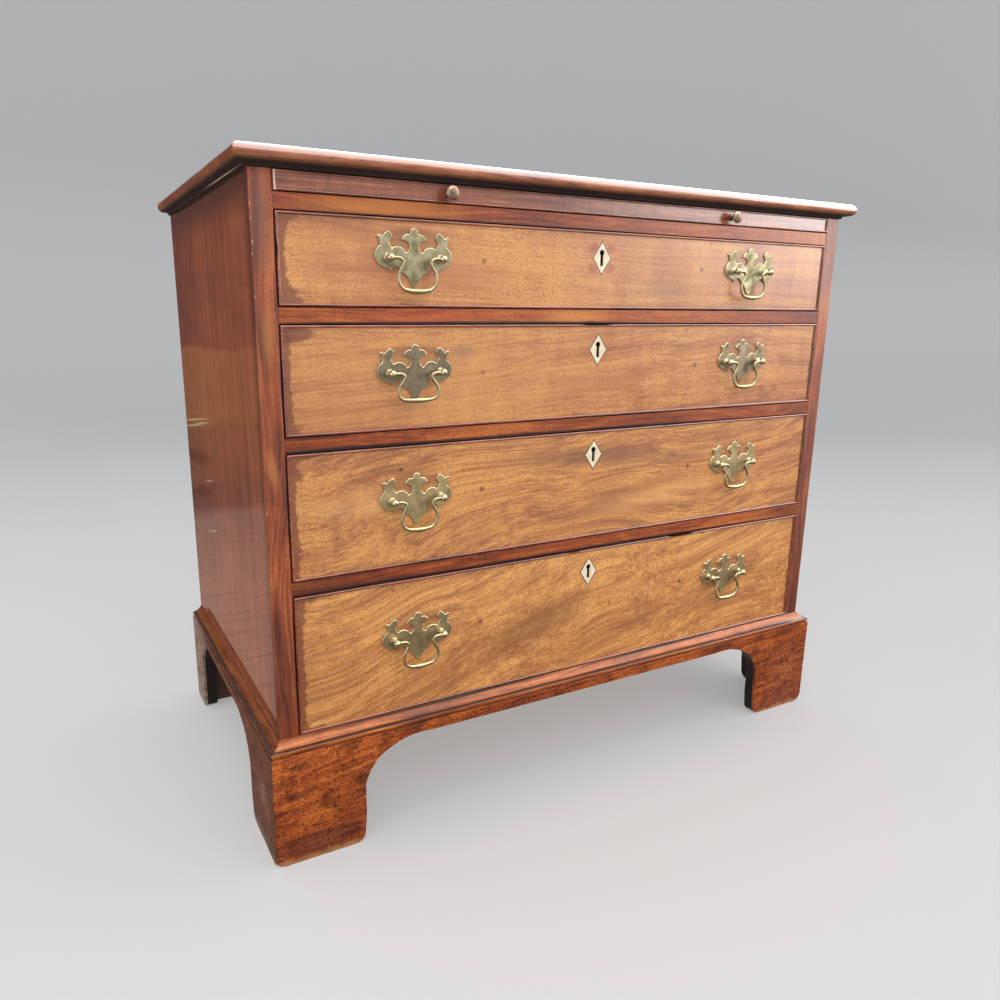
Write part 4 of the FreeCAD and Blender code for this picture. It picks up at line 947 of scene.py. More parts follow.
@dataclass
class TopBoard:
    """The top board with its thumb moulding, undercut and bed fillet on three sides."""

    profile: tuple[Corner, ...] = (
        (9.3, 20.0, 0.38),
        (17.3, 11.5, 0.33),
        (11.0, 3.8, 0.0),
        (5.5, 3.8, -0.3),
        (2.75, 0.0, 0.0),
    )
    spacing: float = 12.0
    unevenness: float = 0.35
    # The moulded part of the profile sways; the flat top and the fillet under it don't.
    free: Pair = (6.0, 19.0)

    def build(self) -> None:
        """Carry the moulding round and close the top, the underside and the back."""
        run = outline(self.profile, 12)
        bases, outward = self.stations()
        rows = carried(run, bases, outward)
        gone = np.cumsum(np.linalg.norm(np.diff(bases, axis=0, prepend=bases[:1]), axis=1))
        moulded = (run[:, 1] > self.free[0]) & (run[:, 1] < self.free[1])
        rows[:, :, 2] += wander(gone, 5, self.unevenness)[:, None] * moulded
        surface = Surface()
        surface.grid(rows)
        numbers = np.arange(surface.count).reshape(rows.shape[:2])
        rims = numbers[:, 0], numbers[::-1, -1], np.concatenate([numbers[0], numbers[-1, ::-1]])
        surface.faces += [rim.tolist() for rim in rims]
        piece = eased(surface.piece("top_board_moulded", 42.0), 0.8)
        # Painted shade under the moulding, on the undercut and the fillet.
        painted_shade_underneath = Mark((0, 0, 786), (FAR, FAR, 9.5), "#140907", 0.93, core=0.55)
        # A painted glint along the fillet on the left side.
        painted_glint = Mark((-444, -130, 789.2), (7, 105, 0.7), "#E2C494", 0.75)
        # A full polish gives the top a clear mirror.
        wood = Timber("mahogany_french_polished_top", Grain.ACROSS, "#B46C3A", "#92491F", "#602710",
                      shift=(0.1, 0.2, 0.0), bands=(700.0, 26.0), roughness=0.3, coat=1.0,
                      marks=(painted_shade_underneath, painted_glint), dusty=(792.0, 796.0))
        hand_over(piece, "carcase", "mahogany_top", wood.build(), "top_board")

    def stations(self) -> tuple[Array, Array]:
        """Lay out bases and outward directions round the carcase, mitred at its front corners."""
        corners = ((-BODY_HALF, BACK_Y), (-BODY_HALF, FACE_Y), (BODY_HALF, FACE_Y), (BODY_HALF, BACK_Y))
        runs = []
        for start, end, outward in zip(corners, corners[1:], ((-1.0, 0.0), (0.0, -1.0), (1.0, 0.0))):
            count = int(math.dist(start, end) / self.spacing) + 1
            runs.append(path(start, end, CARCASE_TOP, outward, count))
        for before, after in zip(runs, runs[1:]):
            after[1][0] += before[1][-1]
        left, front, right = runs
        return tuple(np.concatenate([left[i][:-1], front[i][:-1], right[i]]) for i in range(2))


@dataclass
class Base:
    """The base moulding and the plinth with its bracket feet."""

    nodes: dict[str, Piece]
    moulding: tuple[Corner, ...] = (
        (0.0, 15.5, 0.0),
        (0.8, 15.5, -0.25),
        (11.93, 6.6, 0.0),
        (12.73, 6.6, 0.7),
        (12.73, 2.4, 0.0),
        (12.73, 0.0, 0.0),
        (0.0, 0.0, 0.0),
    )
    spacing: float = 15.0
    unevenness: float = 0.25
    # Nearer to the carcase and to the plinth than this, the moulding doesn't sway.
    held: Pair = (2.0, 1.0)
    foot_wear: float = 1.1

    def build(self) -> None:
        """Draw the moulding in its three lengths, and the plinth with worn edges."""
        self.mouldings()
        bleached = Mark((-450, 262, 60), (40, 160, FAR), "#BCA494", 0.85)
        # A painted sheen on the left side near the front corner.
        painted_sheen = Mark((-455, -205, 70), (20, 26, 30), "#A67E68", 0.5)
        # Dry and scuffed: nearly no polish is left, so that the plinth doesn't shine.
        for node, grain, tones, spots in (
            ("plinth_front", Grain.ACROSS, ("#CE6C2C", "#A04A1A", "#5C240F"), PLINTH_MARKS),
            ("plinth_sides", Grain.DEEP, ("#93583A", "#70402A", "#452415"), (bleached, painted_sheen)),
        ):
            wood = FootTimber(f"mahogany_scuffed_{node}", grain, *tones, marks=spots, bands=(180.0, 12.0),
                              ribbon_share=0.2, flow=14.0, slant=4.0, fleck="#5A2008", fleck_depth=0.7,
                              roughness=0.45, coat=0.0, specular=0.2)
            piece = softened(self.nodes[node], f"{node}_worn", self.foot_wear, 3)
            Knock().give(piece)
            hand_over(piece, "carcase", "mahogany_base", wood.build(), node)
        # Sawn pine, brown with age and without any gloss, and painted darker for the shade under the chest.
        rough = Timber("pine_sawn_under_painted_shade", Grain.ACROSS, "#4A3524", "#38271B", "#241811", roughness=0.75,
                       coat=0.0).build()
        for node in ("rear_brackets", "glue_blocks"):
            dress(self.nodes[node], rough)

    def mouldings(self) -> None:
        """Carry the moulding along the front and back along both sides, mitred at the corners."""
        front, sides = Surface(), Surface()
        count = int(2 * BODY_HALF / self.spacing)
        bases, outward = path((-BODY_HALF, FACE_Y), (BODY_HALF, FACE_Y), PLINTH_TOP, (0.0, -1.0), count)
        outward[0, 0], outward[-1, 0] = -1.0, 1.0
        self.carry(front, bases, outward, 11)
        count = int((BACK_Y - FACE_Y) / self.spacing)
        for hand in (-1.0, 1.0):
            x = hand * BODY_HALF
            bases, outward = path((x, FACE_Y), (x, BACK_Y), PLINTH_TOP, (hand, 0.0), count)
            outward[0, 1] = -1.0
            self.carry(sides, bases, outward, 12)
        # Painted shade in the quirk, along the joint with the plinth and in the gap under the bottom
        # drawer's chipped bead.
        painted_shade_lines = (
            Mark((0, 0, PLINTH_TOP + 6.8), (FAR, FAR, 1.2), "#2A100A", 0.9, core=0.4),
            Mark((0, 0, PLINTH_TOP), (FAR, FAR, 1.4), "#1C0C08", 0.9, core=0.5),
            Mark((-215, -239, 159), (190, 6, 2), GAP_SHADE_AND_NICK, 0.9, core=0.7),
            Mark((150, -239, 159), (120, 6, 1.8), GAP_SHADE_AND_NICK, 0.85, core=0.7),
        )
        # A little wax on planed wood: soft light on the round, and painted shade in the quirk.
        for surface, name, grain, tones in (
            (front, "front", Grain.ACROSS, ("#D67E38", "#AC5A22", "#6A2E12")),
            (sides, "sides", Grain.DEEP, ("#A65C2E", "#80401C", "#502410")),
        ):
            wood = Timber(f"mahogany_waxed_moulding_{name}", grain, *tones, marks=painted_shade_lines, coat=0.1,
                          shift=(0.5, 0.0, 0.0), bands=(300.0, 7.0), roughness=0.34, specular=0.25)
            piece = eased(surface.piece(f"base_moulding_{name}_worn", 30.0), 0.35)
            hand_over(piece, "carcase", "mahogany_base", wood.build(), "base_mouldings")

    def carry(self, surface: Surface, bases: Array, outward: Array, seed: int) -> None:
        """Add one length of the moulding, whose outer part sways a little along its way."""
        run = outline(self.moulding, 10)
        rows = carried(run, bases, outward)
        free = (run[:, 0] > self.held[0]) & (run[:, 1] > self.held[1])
        rows[:, :, 2] += wander(rows[:, :, 0] + rows[:, :, 1], seed, self.unevenness) * free
        surface.grid(rows, closed=True)


# ------------------------------------------------------------------------- beads, brasses, drawers


@dataclass
class CockBead:
    """Four thin round-nosed strips round a front, mitred at the corners and worn by years of use.

    A chip is (strip, start, end, depth): from start to end along the strip its outer side is gone to
    the depth.  Strips are 0 lower, 1 right, 2 upper and 3 left.
    """

    node: str
    face: float
    thickness: float
    seed: int
    chips: tuple[tuple[int, float, float, float], ...] = ()
    proud: float = 2.3
    lap: float = 8.0
    spacing: float = 6.0
    unevenness: float = 0.22
    chip_slope: float = 3.0

    def build(self) -> Piece:
        """Make the four strips as one piece, as long as the solid's."""
        turn = self.proud - 0.4 * self.thickness
        section = outline(((0.0, -self.lap, 0.0), (0.0, turn, 0.8),
                           (self.thickness, turn, 0.0), (self.thickness, -self.lap, 0.0)))
        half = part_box(self.node)[1].x / MM
        low, high = heights(self.node)
        corners = np.array([(-half, low), (half, low), (half, high), (-half, high)])
        surface = Surface()
        for strip in range(4):
            surface.grid(self.strip(section, corners[strip], corners[(strip + 1) % 4], strip), closed=True)
        return surface.piece(f"{self.node}_worn", 40.0)

    def strip(self, section: Array, start: Array, end: Array, number: int) -> Array:
        """Carry the section along one strip; its two ends are cut at forty-five degrees.

        Args:
            section: (inward, proud) pairs.
            start: first outer corner, as X and Z.
            end: last outer corner.
            number: which strip this is.

        Returns:
            Rows of points.
        """
        length = np.linalg.norm(end - start)
        unit = (end - start) / length
        gone = np.linspace(0.0, length, max(8, int(length / self.spacing)))
        bases = start + gone[:, None] * unit
        inward = np.repeat([(-unit[1], unit[0])], len(gone), axis=0)
        inward[0] += unit
        inward[-1] -= unit
        in_plane = self.chipped(section, gone, number)
        flat = bases[:, None, :] + in_plane[:, :, :1] * inward[:, None, :]
        wear = 1.0 + wander(gone, 10 * self.seed + number, self.unevenness)[:, None]
        depth = in_plane[:, :, 1]
        depth = np.where(depth > 0.0, depth * wear, depth)
        return np.stack([flat[:, :, 0], self.face - depth, flat[:, :, 1]], axis=-1)

    def chipped(self, section: Array, gone: Array, number: int) -> Array:
        """Repeat the section along the strip and take the chips out of its outer side."""
        rows = np.repeat(section[None], len(gone), axis=0)
        front = section[None, :, 1] > -1.0
        for strip, start, end, depth in self.chips:
            if strip == number:
                inside = np.clip(np.minimum(gone - start, end - gone) / self.chip_slope, 0.0, 1.0)
                left = np.maximum(rows[:, :, 0], depth * inside[:, None])
                rows[:, :, 0] = np.where(front, left, rows[:, :, 0])
        return rows


def turning(profile: Sequence[Corner], centre: Corner) -> Array:
    """Turn a profile about a line that runs forward from a centre.

    Every point of the profile, whose corners are (forward, radius, swell) from the tip to the foot,
    is carried round a circle of its radius.
    """
    spots = outline(profile, 10)
    angle = around(32)
    x = centre[0] + spots[:, 1:] * np.cos(angle)
    z = centre[2] + spots[:, 1:] * np.sin(angle)
    y = np.broadcast_to(centre[1] - spots[:, :1], x.shape)
    return np.stack([x, y, z], axis=-1)


# The swan neck of a bail from its post to its grip, in (away from the grip, up) from the post.
BAIL_NECK: tuple[Pair, ...] = (
    (-9.2, -0.2), (-12.8, -1.3), (-15.2, -4.6), (-13.4, -9.6), (-9.9, -15.6),
    (-8.8, -21.9), (-10.4, -28.0), (-14.2, -32.3), (-20.0, -34.6),
)


@dataclass
class Handle:
    """Two ball posts and a swan-necked bail."""

    x: float
    z: float
    flare: float = 0.0
    hang: float = 1.0
    face: float = DRAWER_FACE_Y
    post_half: float = 32.0
    reach: float = 10.5
    ball: float = 4.6
    waist: float = 2.5
    shank: float = 2.4
    nut: float = 5.5
    nut_from: float = -21.0
    nut_to: float = -24.0
    plate_thickness: float = 2.0
    wire: float = 1.9
    grip: float = 3.1
    drop: float = 35.6

    def posts(self, surface: Surface) -> None:
        """Turn both posts: ball, neck and collar in front, shank and nut behind."""
        plate = self.plate_thickness
        foot = plate + 1.2
        front = (
            (self.reach + self.ball, 0.05, -0.748),
            (self.reach - math.sqrt(self.ball**2 - self.waist**2), self.waist, 0.0),
            (foot + 0.6, self.waist, 0.3),
            (foot, 3.4, 0.0),
            (foot, 4.4, -0.35),
            (plate, 5.0, 0.0),
            (plate, self.shank, 0.0),
            (self.nut_from, self.shank, 0.0),
            (self.nut_from, self.nut, 0.0),
            (self.nut_to, self.nut, 0.0),
            (self.nut_to, 0.0, 0.0),
        )
        for hand in (-1.0, 1.0):
            surface.grid(turning(front, (self.x + hand * self.post_half, self.face, self.z)), closed=True)

    def bail(self, name: str) -> Piece:
        """Forge the bail: a round wire along a smooth curve in the plane of the front.

        The curve's radius grows from the wire's to the grip's with the 24th power of a sine, and the
        grip has a small shoulder either side.  A bent bail is wider by flare (z / drop)^2 either side
        and hangs shorter by the factor hang.
        """
        start = self.post_half - self.ball + 0.6
        neck = [(self.post_half + x + self.flare * (z / self.drop) ** 2, z) for x, z in BAIL_NECK]
        right = np.array([(start, 0.0), *neck])
        line = np.concatenate([right, [(0.0, -self.drop)], right[::-1] * (-1.0, 1.0)]) * (1.0, self.hang)
        way = smooth_way(line, 10)
        tangent = np.gradient(way, axis=0)
        tangent /= np.linalg.norm(tangent, axis=1, keepdims=True)
        gone = np.cumsum(np.linalg.norm(np.diff(way, axis=0, prepend=way[:1]), axis=1))
        share = gone / gone[-1]
        radius = self.wire + (self.grip - self.wire) * np.sin(math.pi * share) ** 24
        radius += 0.35 * np.exp(-(((np.abs(share - 0.5) - 0.105) / 0.012) ** 2))
        angle = around(16)
        side = radius[:, None] * np.cos(angle)
        deep = radius[:, None] * np.sin(angle)
        x = self.x + way[:, :1] - tangent[:, 1:] * side
        z = self.z + way[:, 1:] + tangent[:, :1] * side
        surface = Surface()
        surface.grid(np.stack([x, self.face - self.reach + deep, z], axis=-1), closed=True)
        return surface.piece(name, 60.0)


@dataclass
class Drawer:
    """One drawer: its face, bead, diamond, lock and two handles."""

    nodes: dict[str, Piece]
    number: int
    finish: DrawerTimber
    brasses: dict[str, Material]
    chips: tuple[tuple[int, float, float, float], ...] = ()
    bent: dict[str, Pair] = field(default_factory=dict)
    grime_and_shade: tuple[Mark, ...] = ()

    def build(self) -> None:
        """Dress the solids, and draw the bead and the brasses again."""
        name = f"drawer{self.number}"
        low, high = heights(f"{name}_front")
        keyhole = sum(heights(f"{name}_escutcheon")) / 2.0
        middle = sum(heights(f"{name}_posts")) / 2.0
        # Painted shade inside the keyhole.
        keyhole_painted_shade = Mark((0, -217, keyhole), (8, 20.4, 13), "#0C0604", 0.98, core=0.97, square=True)
        # Dirt and painted shade round the plates.
        plate_dirt_and_shade = ((x, middle + 6, 54, 30, "#5E3018", 0.4, 0, 0.75) for x in (-HANDLE_X, HANDLE_X))
        marks = (*self.finish.marks, *front_marks(*plate_dirt_and_shade), keyhole_painted_shade)
        # Planed oak, paler and drier than the fronts.
        oak = Timber(f"oak_planed_lining_{self.number}", Grain.DEEP, "#B08C5C", "#987246", "#755232",
                     pore="#50361F", roughness=0.62, coat=0.0, shift=(0.0, 0.0, 0.3 * self.number),
                     pores=(14.0, 0.8))
        for part, material in (
            ("front", replace(self.finish, low=low, high=high, marks=marks).build()),
            ("linings", oak.build()),
            ("escutcheon", Bone(f"bone_polished_diamond_{self.number}", keyhole).build()),
            ("lock", self.brasses["lock"]),
            ("lock_bolt", self.brasses["bolt"]),
        ):
            dress(self.nodes[f"{name}_{part}"], material)
        node = f"{name}_cockbead"
        # Rubbed and waxed: the round nose carries one thin line of light.
        wood = Timber(f"mahogany_waxed_bead_{self.number}", Grain.ACROSS, "#A4583A", "#7C3A24", "#481C10",
                      roughness=0.3, coat=0.5, coat_roughness=0.08, pore_depth=0.3, marks=self.grime_and_shade)
        bead = CockBead(node, DRAWER_FACE_Y, 2.8, self.number, self.chips)
        hand_over(bead.build(), name, "mahogany_bead", wood.build(), node)
        self.handles(name, middle)

    def handles(self, name: str, middle: float) -> None:
        """File the plates' edges, turn the posts and forge each bail."""
        posts = Surface()
        for side, hand in (("left", -1.0), ("right", 1.0)):
            handle = Handle(hand * HANDLE_X, middle, *self.bent.get(side, ()))
            handle.posts(posts)
            bail = handle.bail(f"{name}_bail_{side}_forged")
            hand_over(bail, f"{name}_{side}_bail", "brass", self.brasses["bail"], f"{name}_bail_{side}")
        plate = softened(self.nodes[f"{name}_backplates"], f"{name}_backplates_filed", 0.7)
        hand_over(plate, name, "brass", self.brasses["plate"], f"{name}_backplates")
        post = posts.piece(f"{name}_posts_turned", 40.0)
        hand_over(post, name, "brass", self.brasses["post"], f"{name}_posts")


@dataclass
class BrushingSlide:
    """The slide under the top, with its lipping, bead and two turned knobs."""

    nodes: dict[str, Piece]
    brass: Material
    knob_half: float = 218.0
    knob_radius: float = 8.0
    knob_reach: float = 15.0
    neck: float = 2.5
    collar: float = 4.5
    shank: float = 2.2
    shank_end: float = -15.5

    def build(self) -> None:
        """Dress the boards and draw bead and knobs again."""
        red_patch, painted_sheen = front_marks(
            (211, 776, 9, 6.5, "#7E1C10", 0.8),
            # A painted highlight on the bead's left end.
            (-414, 776, 2.6, 14, "#E6B4A2", 0.85, 0, 0.8),
        )
        for part, wood in (
            # Polished by hands: it mirrors a little of the room.
            ("lipping", Timber("mahogany_polished_lipping", Grain.ACROSS, "#B86A44", "#90492A", "#5E2918",
                               shift=(0.9, 0.0, 0.2), bands=(300.0, 8.0), ribbon=(5.0, 60.0),
                               marks=(red_patch,), roughness=0.28, coat=0.75, ripple=0.1,
                               ripple_size=(3.0, 20.0, 40.0))),
            # Planed pine, rubbed smooth by brushed clothes.
            ("board", Timber("pine_planed_slide", Grain.ACROSS, "#A9845A", "#8F6A44", "#6E4C30",
                             roughness=0.5, coat=0.1, bands=(600.0, 14.0))),
            # Planed and waxed: the plain red of the carcase.
            ("cleats", Timber("mahogany_waxed_cleat", Grain.DEEP, *RED_MAHOGANY)),
        ):
            dress(self.nodes[f"slide_{part}"], wood.build())
        node = "slide_cockbead"
        # Polished like the lipping, with a painted highlight on the left end.
        wood = Timber("mahogany_polished_bead_slide", Grain.ACROSS, "#A0624A", "#7C3F2E", "#4E2218",
                      roughness=0.3, coat=1.0, coat_roughness=0.1, pore_depth=0.3, marks=(painted_sheen,))
        bead = CockBead(node, FACE_Y, 2.0, 7).build()
        hand_over(bead, "slide", "mahogany_bead", wood.build(), node)
        knobs = Surface()
        middle = sum(heights(node)) / 2.0
        for hand in (-1.0, 1.0):
            knobs.grid(turning(self.knob(), (hand * self.knob_half, FACE_Y, middle)), closed=True)
        hand_over(knobs.piece("slide_knobs_turned", 40.0), "slide", "brass", self.brass, "slide_knobs")

    def knob(self) -> tuple[Corner, ...]:
        """Give the half section of a knob from its face to the end of its shank."""
        rim, reach = self.knob_radius, self.knob_reach
        return (
            (reach, 0.05, -0.05),
            (reach - 0.6, rim * 0.55, -0.2),
            (reach - 2.6, rim * 0.95, -0.3),
            (reach - 3.4, rim, -0.5),
            (reach - 4.9, rim * 0.93, 0.3),
            (reach * 0.42, self.neck, 0.0),
            (reach * 0.13, self.neck, 0.0),
            (reach * 0.1, self.collar, -0.3),
            (0.0, self.collar, 0.0),
            (0.0, self.shank, 0.0),
            (self.shank_end, self.shank, 0.0),
            (self.shank_end, 0.0, 0.0),
        )


# ------------------------------------------------------------------------------------------ studio


@dataclass(frozen=True)
class SoftBox:
    """A flat lamp; places and sizes are in metres, its power in watts."""

    name: str
    spot: Corner
    aim: Corner
    size: Pair
    power: float

    def hang(self, lit: bpy.types.Collection) -> Piece:
        """Hang the lamp so that it lights one collection."""
        light = bpy.data.lights.new(self.name, "AREA")
        light.shape = "RECTANGLE"
        light.size, light.size_y = self.size
        light.energy = self.power
        lamp = bpy.data.objects.new(self.name, light)
        lamp.location = self.spot
        lamp.rotation_euler = (Vector(self.aim) - Vector(self.spot)).to_track_quat("-Z", "Y").to_euler()
        lamp.light_linking.receiver_collection = lit
        bpy.context.scene.collection.objects.link(lamp)
        return lamp


@dataclass
class Studio:
    """A pale floor that curves up into a backdrop, soft lights, glowing cards that paint reflections into
    the polish, and the camera.

    Its places are in metres.
    """

    floor_half: float = 11.0
    wall_y: float = 4.6
    curve: float = 1.6
    wall_top: float = 6.0
    room: str = "#F2F4F6"
    floor_light: float = 1.8

    def build(self) -> None:
        """Set up everything round the chest."""
        self.lights(self.backdrop())
        self.yard_reflection_card()
        self.floor_reflection_card()
        self.camera()
        bpy.context.scene.view_settings.view_transform = "Standard"

    def backdrop(self) -> Piece:
        """Carry the sweep's line, floor then quarter circle then wall, across the width."""
        angle = np.linspace(-math.pi / 2, 0.0, 16)
        bend = np.column_stack([np.cos(angle) - 1.0, np.sin(angle) + 1.0]) * self.curve + (self.wall_y, 0.0)
        line = np.concatenate([[(-self.floor_half, 0.0)], bend, [(self.wall_y, self.wall_top)]])
        sweep = self.sheet("studio_sweep", line, (-self.floor_half, 0.0, self.floor_half))
        # Matt rolled paint: it takes soft shadows and mirrors nothing. Its colour holds a painted falloff
        # of light: paler near the camera and darker away from it along its line of sight, and paler again
        # up the wall.
        recipe = Recipe("paint_rolled_sweep")
        away = recipe.vectors("DOT_PRODUCT", recipe.place, (0.478, 0.878, 0.0), "Value")
        colour = recipe.blend(recipe.spread(away, -0.6, 3.0), "#C3C3C3", "#9E9E9E")
        colour = recipe.blend(recipe.spread(recipe.axes()[2], 0.1, 1.6), colour, "#C2C2C2")
        dress(sweep, recipe.finish({"Base Color": colour, "Roughness": 0.9, "Specular IOR Level": 0.1}))
        return sweep

    def sheet(self, name: str, line: Array, across: Sequence[float]) -> Piece:
        """Carry a line of (Y, Z) places to each X, and make the sheet between them."""
        surface = Surface()
        surface.grid(np.stack([np.column_stack([np.full(len(line), x), line]) for x in across]) / MM)
        sheet = surface.piece(name, 80.0)
        return sheet

    def lights(self, sweep: Piece) -> None:
        """Hang the soft boxes and set the room's even light, which alone lights the sweep."""
        chest_only, floor_only = (bpy.data.collections.new(name) for name in ("chest_only", "floor_only"))
        chest_only.objects.link(sweep)
        chest_only.collection_objects[0].light_linking.link_state = "EXCLUDE"
        floor_only.objects.link(sweep)
        SoftBox("key", (2.9, -2.4, 1.8), (0.2, 0.0, 0.5), (2.2, 2.2), 42.0).hang(chest_only)
        strip = SoftBox("strip", (1.65, -0.95, 2.3), (0.3, -0.25, 0.3), (4.0, 0.35), 45.0)
        strip.hang(chest_only).visible_glossy = False
        # These are seen by the polish only.
        for box in (
            SoftBox("window", (2.95, -1.8, 1.3), (0.4, -0.24, 0.75), (1.6, 1.2), 24.0),
            SoftBox("sky", (1.4, 0.0, 2.6), (1.4, 0.0, 0.0), (5.0, 6.0), 470.0),
            SoftBox("sky_back", (2.0, 1.3, 2.5), (0.0, -0.25, 0.8), (4.0, 1.8), 90.0),
            SoftBox("left_shine", (-3.0, -1.5, 0.8), (-0.4, -0.24, 0.5), (0.9, 1.4), 24.0),
        ):
            shine = box.hang(chest_only)
            shine.visible_camera = False
            shine.visible_diffuse = False
        fill = bpy.data.lights.new("floor_fill", "SUN")
        fill.energy = self.floor_light
        fill.use_shadow = False
        lamp = bpy.data.objects.new("floor_fill", fill)
        lamp.light_linking.receiver_collection = floor_only
        bpy.context.scene.collection.objects.link(lamp)
        world = bpy.data.worlds.new("studio")
        world.use_nodes = True
        back = world.node_tree.nodes["Background"]
        back.inputs["Color"].default_value = linear(self.room)
        back.inputs["Strength"].default_value = 1.0
        bpy.context.scene.world = world

    def yard_reflection_card(self) -> None:
        """Stand up a glowing card that paints the side's reflection: a brown yard with pale painted glints
        and a dark wall.
        """
        yard = Recipe("card_glowing_reflection_yard")
        _, y, z = yard.axes()
        colour: Any = "#B08E80"
        for start, end, tint in ((0.8, 1.3, "#9A8278"), (1.45, 1.6, "#62504C"), (1.9, 2.1, "#7E5A4A")):
            colour = yard.blend(yard.spread(y, start, end), colour, tint)
        streaks = yard.pattern((300.0, 22.0, FAR), 4.0)
        colour = yard.blend(yard.spread(streaks, 0.5, 0.75, 0.0, 0.5), colour, "#4A3A36")
        colour = yard.blend(yard.spread(z, 0.06, 0.11), colour, "#96694A")
        # Painted glints and darker patches in the reflection.
        for spot in (
            Mark((-900, 3000, 118), (75, 50, 6), "#F0E2A8", 0.9),
            Mark((-890, 3000, 90), (60, 50, 6), "#F0E2A8", 0.9),
            Mark((-930, 3000, 98), (40, 50, 6), "#F0E2A8", 0.9),
            Mark((-830, 2600, 0), (65, 360, 50), "#46302A", 0.8),
            Mark((-710, 1850, 0), (70, 120, 50), "#38282A", 0.75),
            Mark((-775, 2020, 0), (14, 24, 50), "#F0E2B8", 0.9),
            Mark((-647, 1280, 0), (14, 16, 50), "#E8D8B0", 0.8),
        ):
            colour = spot.laid(yard, colour)
        waves = yard.spread(yard.pattern((200.0, 200.0, 200.0), 2.0), *WIDE, -0.02, 0.02)
        colour = yard.blend(yard.spread(yard.sums("ADD", z, waves), 0.455, 0.468), colour, "#6E4A44")
        self.card("yard_reflection_card", ((-0.9, 0.006), (3.0, 0.006), (3.0, 2.6)), (-2.6, -0.46), yard, colour)

    def floor_reflection_card(self) -> None:
        """Lay out a glowing card that paints the front's reflection of a darker floor."""
        floor = Recipe("card_glowing_reflection_floor")
        shade = floor.blend(floor.spread(floor.axes()[1], -0.95, -0.7), "#BCB8B4", "#6A5C54")
        self.card("floor_reflection_card", ((-3.4, 0.005), (-0.262, 0.005)), (-0.44, 3.0), floor, shade)

    def card(self, name: str, line: Sequence[Pair], across: Pair, recipe: Recipe, colour: Any) -> None:
        """Make one glowing card that paints a reflection; only mirrors see it.

        Args:
            name: its name.
            line: (Y, Z) places along it.
            across: where it begins and ends along X.
            recipe: its material.
            colour: the colour that it shows.
        """
        card = self.sheet(name, np.array(line), across)
        dress(card, recipe.finish({
            "Base Color": "#000000", "Roughness": 1.0, "Specular IOR Level": 0.0,
            "Emission Color": colour, "Emission Strength": 1.0,
        }))
        for kind in ("camera", "diffuse", "transmission", "volume_scatter", "shadow"):
            setattr(card, f"visible_{kind}", False)

    def camera(self) -> None:
        """Stand the camera a little below the top, to the left, looking down along the front."""
        yaw, pitch, roll = (math.radians(angle) for angle in (28.585, -13.664, 0.364))
        data = bpy.data.cameras.new("camera")
        data.sensor_width = 36.0
        data.lens = 28.305
        data.shift_x = 0.0299
        data.shift_y = 0.0023
        data.clip_start = 0.05
        data.clip_end = 60.0
        eye = bpy.data.objects.new("camera", data)
        turned = Matrix.Translation((-0.64172, -1.07133, 0.64921))
        for angle, axis in ((-yaw, "Z"), (math.pi / 2 + pitch, "X"), (roll, "Z")):
            turned = turned @ Matrix.Rotation(angle, 4, axis)
        eye.matrix_world = turned
        bpy.context.scene.collection.objects.link(eye)
        bpy.context.scene.camera = eye


# Height of the filled holes of older handles, and the other marks, of each drawer from the top down.
DRAWER_MARKS = (
    (706, (
        (-300, 700, 200, 70, "#E6AA6C", 0.2),
        (95, 678, 60, 12, "#8E6A4C", 0.4),
        (-250, 690, 150, 26, "#B86F45", 0.35),
        (-14, 727, 12, 9, "#9A4628", 0.8, 30),
        (14, 728, 11, 9, "#9A4628", 0.75, -30),
        (-14, 702, 11, 10, "#9A4628", 0.7, -40),
        (14, 704, 10, 9, "#9A4628", 0.65, 40),
    )),
    (578, (
        (-260, 575, 270, 90, "#E6A866", 0.24),
        (-198, 603, 26, 10, "#8C6A50", 0.5),
        (-410, 625, 36, 11, "#6E3320", 0.75, 0, 0.75),
        (10, 560, 120, 16, "#A86A3C", 0.4, 4),
    )),
    (433.5, (
        (10, 460, 190, 18, "#7C5038", 0.6, -3),
        (150, 448, 90, 9, "#7C5038", 0.3, 5),
        (110, 395, 160, 18, "#E6AC68", 0.35, 6),
        (-280, 468, 5, 3, "#3A1A10", 0.8),
        (60, 405, 130, 12, "#8E552E", 0.45, 9),
        (-330, 430, 120, 20, "#D8A468", 0.35),
    )),
    (257.5, (
        (-90, 236, 110, 36, "#7C4826", 0.6, 14),
        (60, 200, 160, 15, "#8A5430", 0.4, 14),
        (-170, 196, 120, 8, "#8A5430", 0.35, 20),
        (-16, 247, 1.2, 12, "#3A1A10", 0.7, -12),
        (40, 246, 1.5, 6, "#2A120C", 0.8, 30),
    )),
)


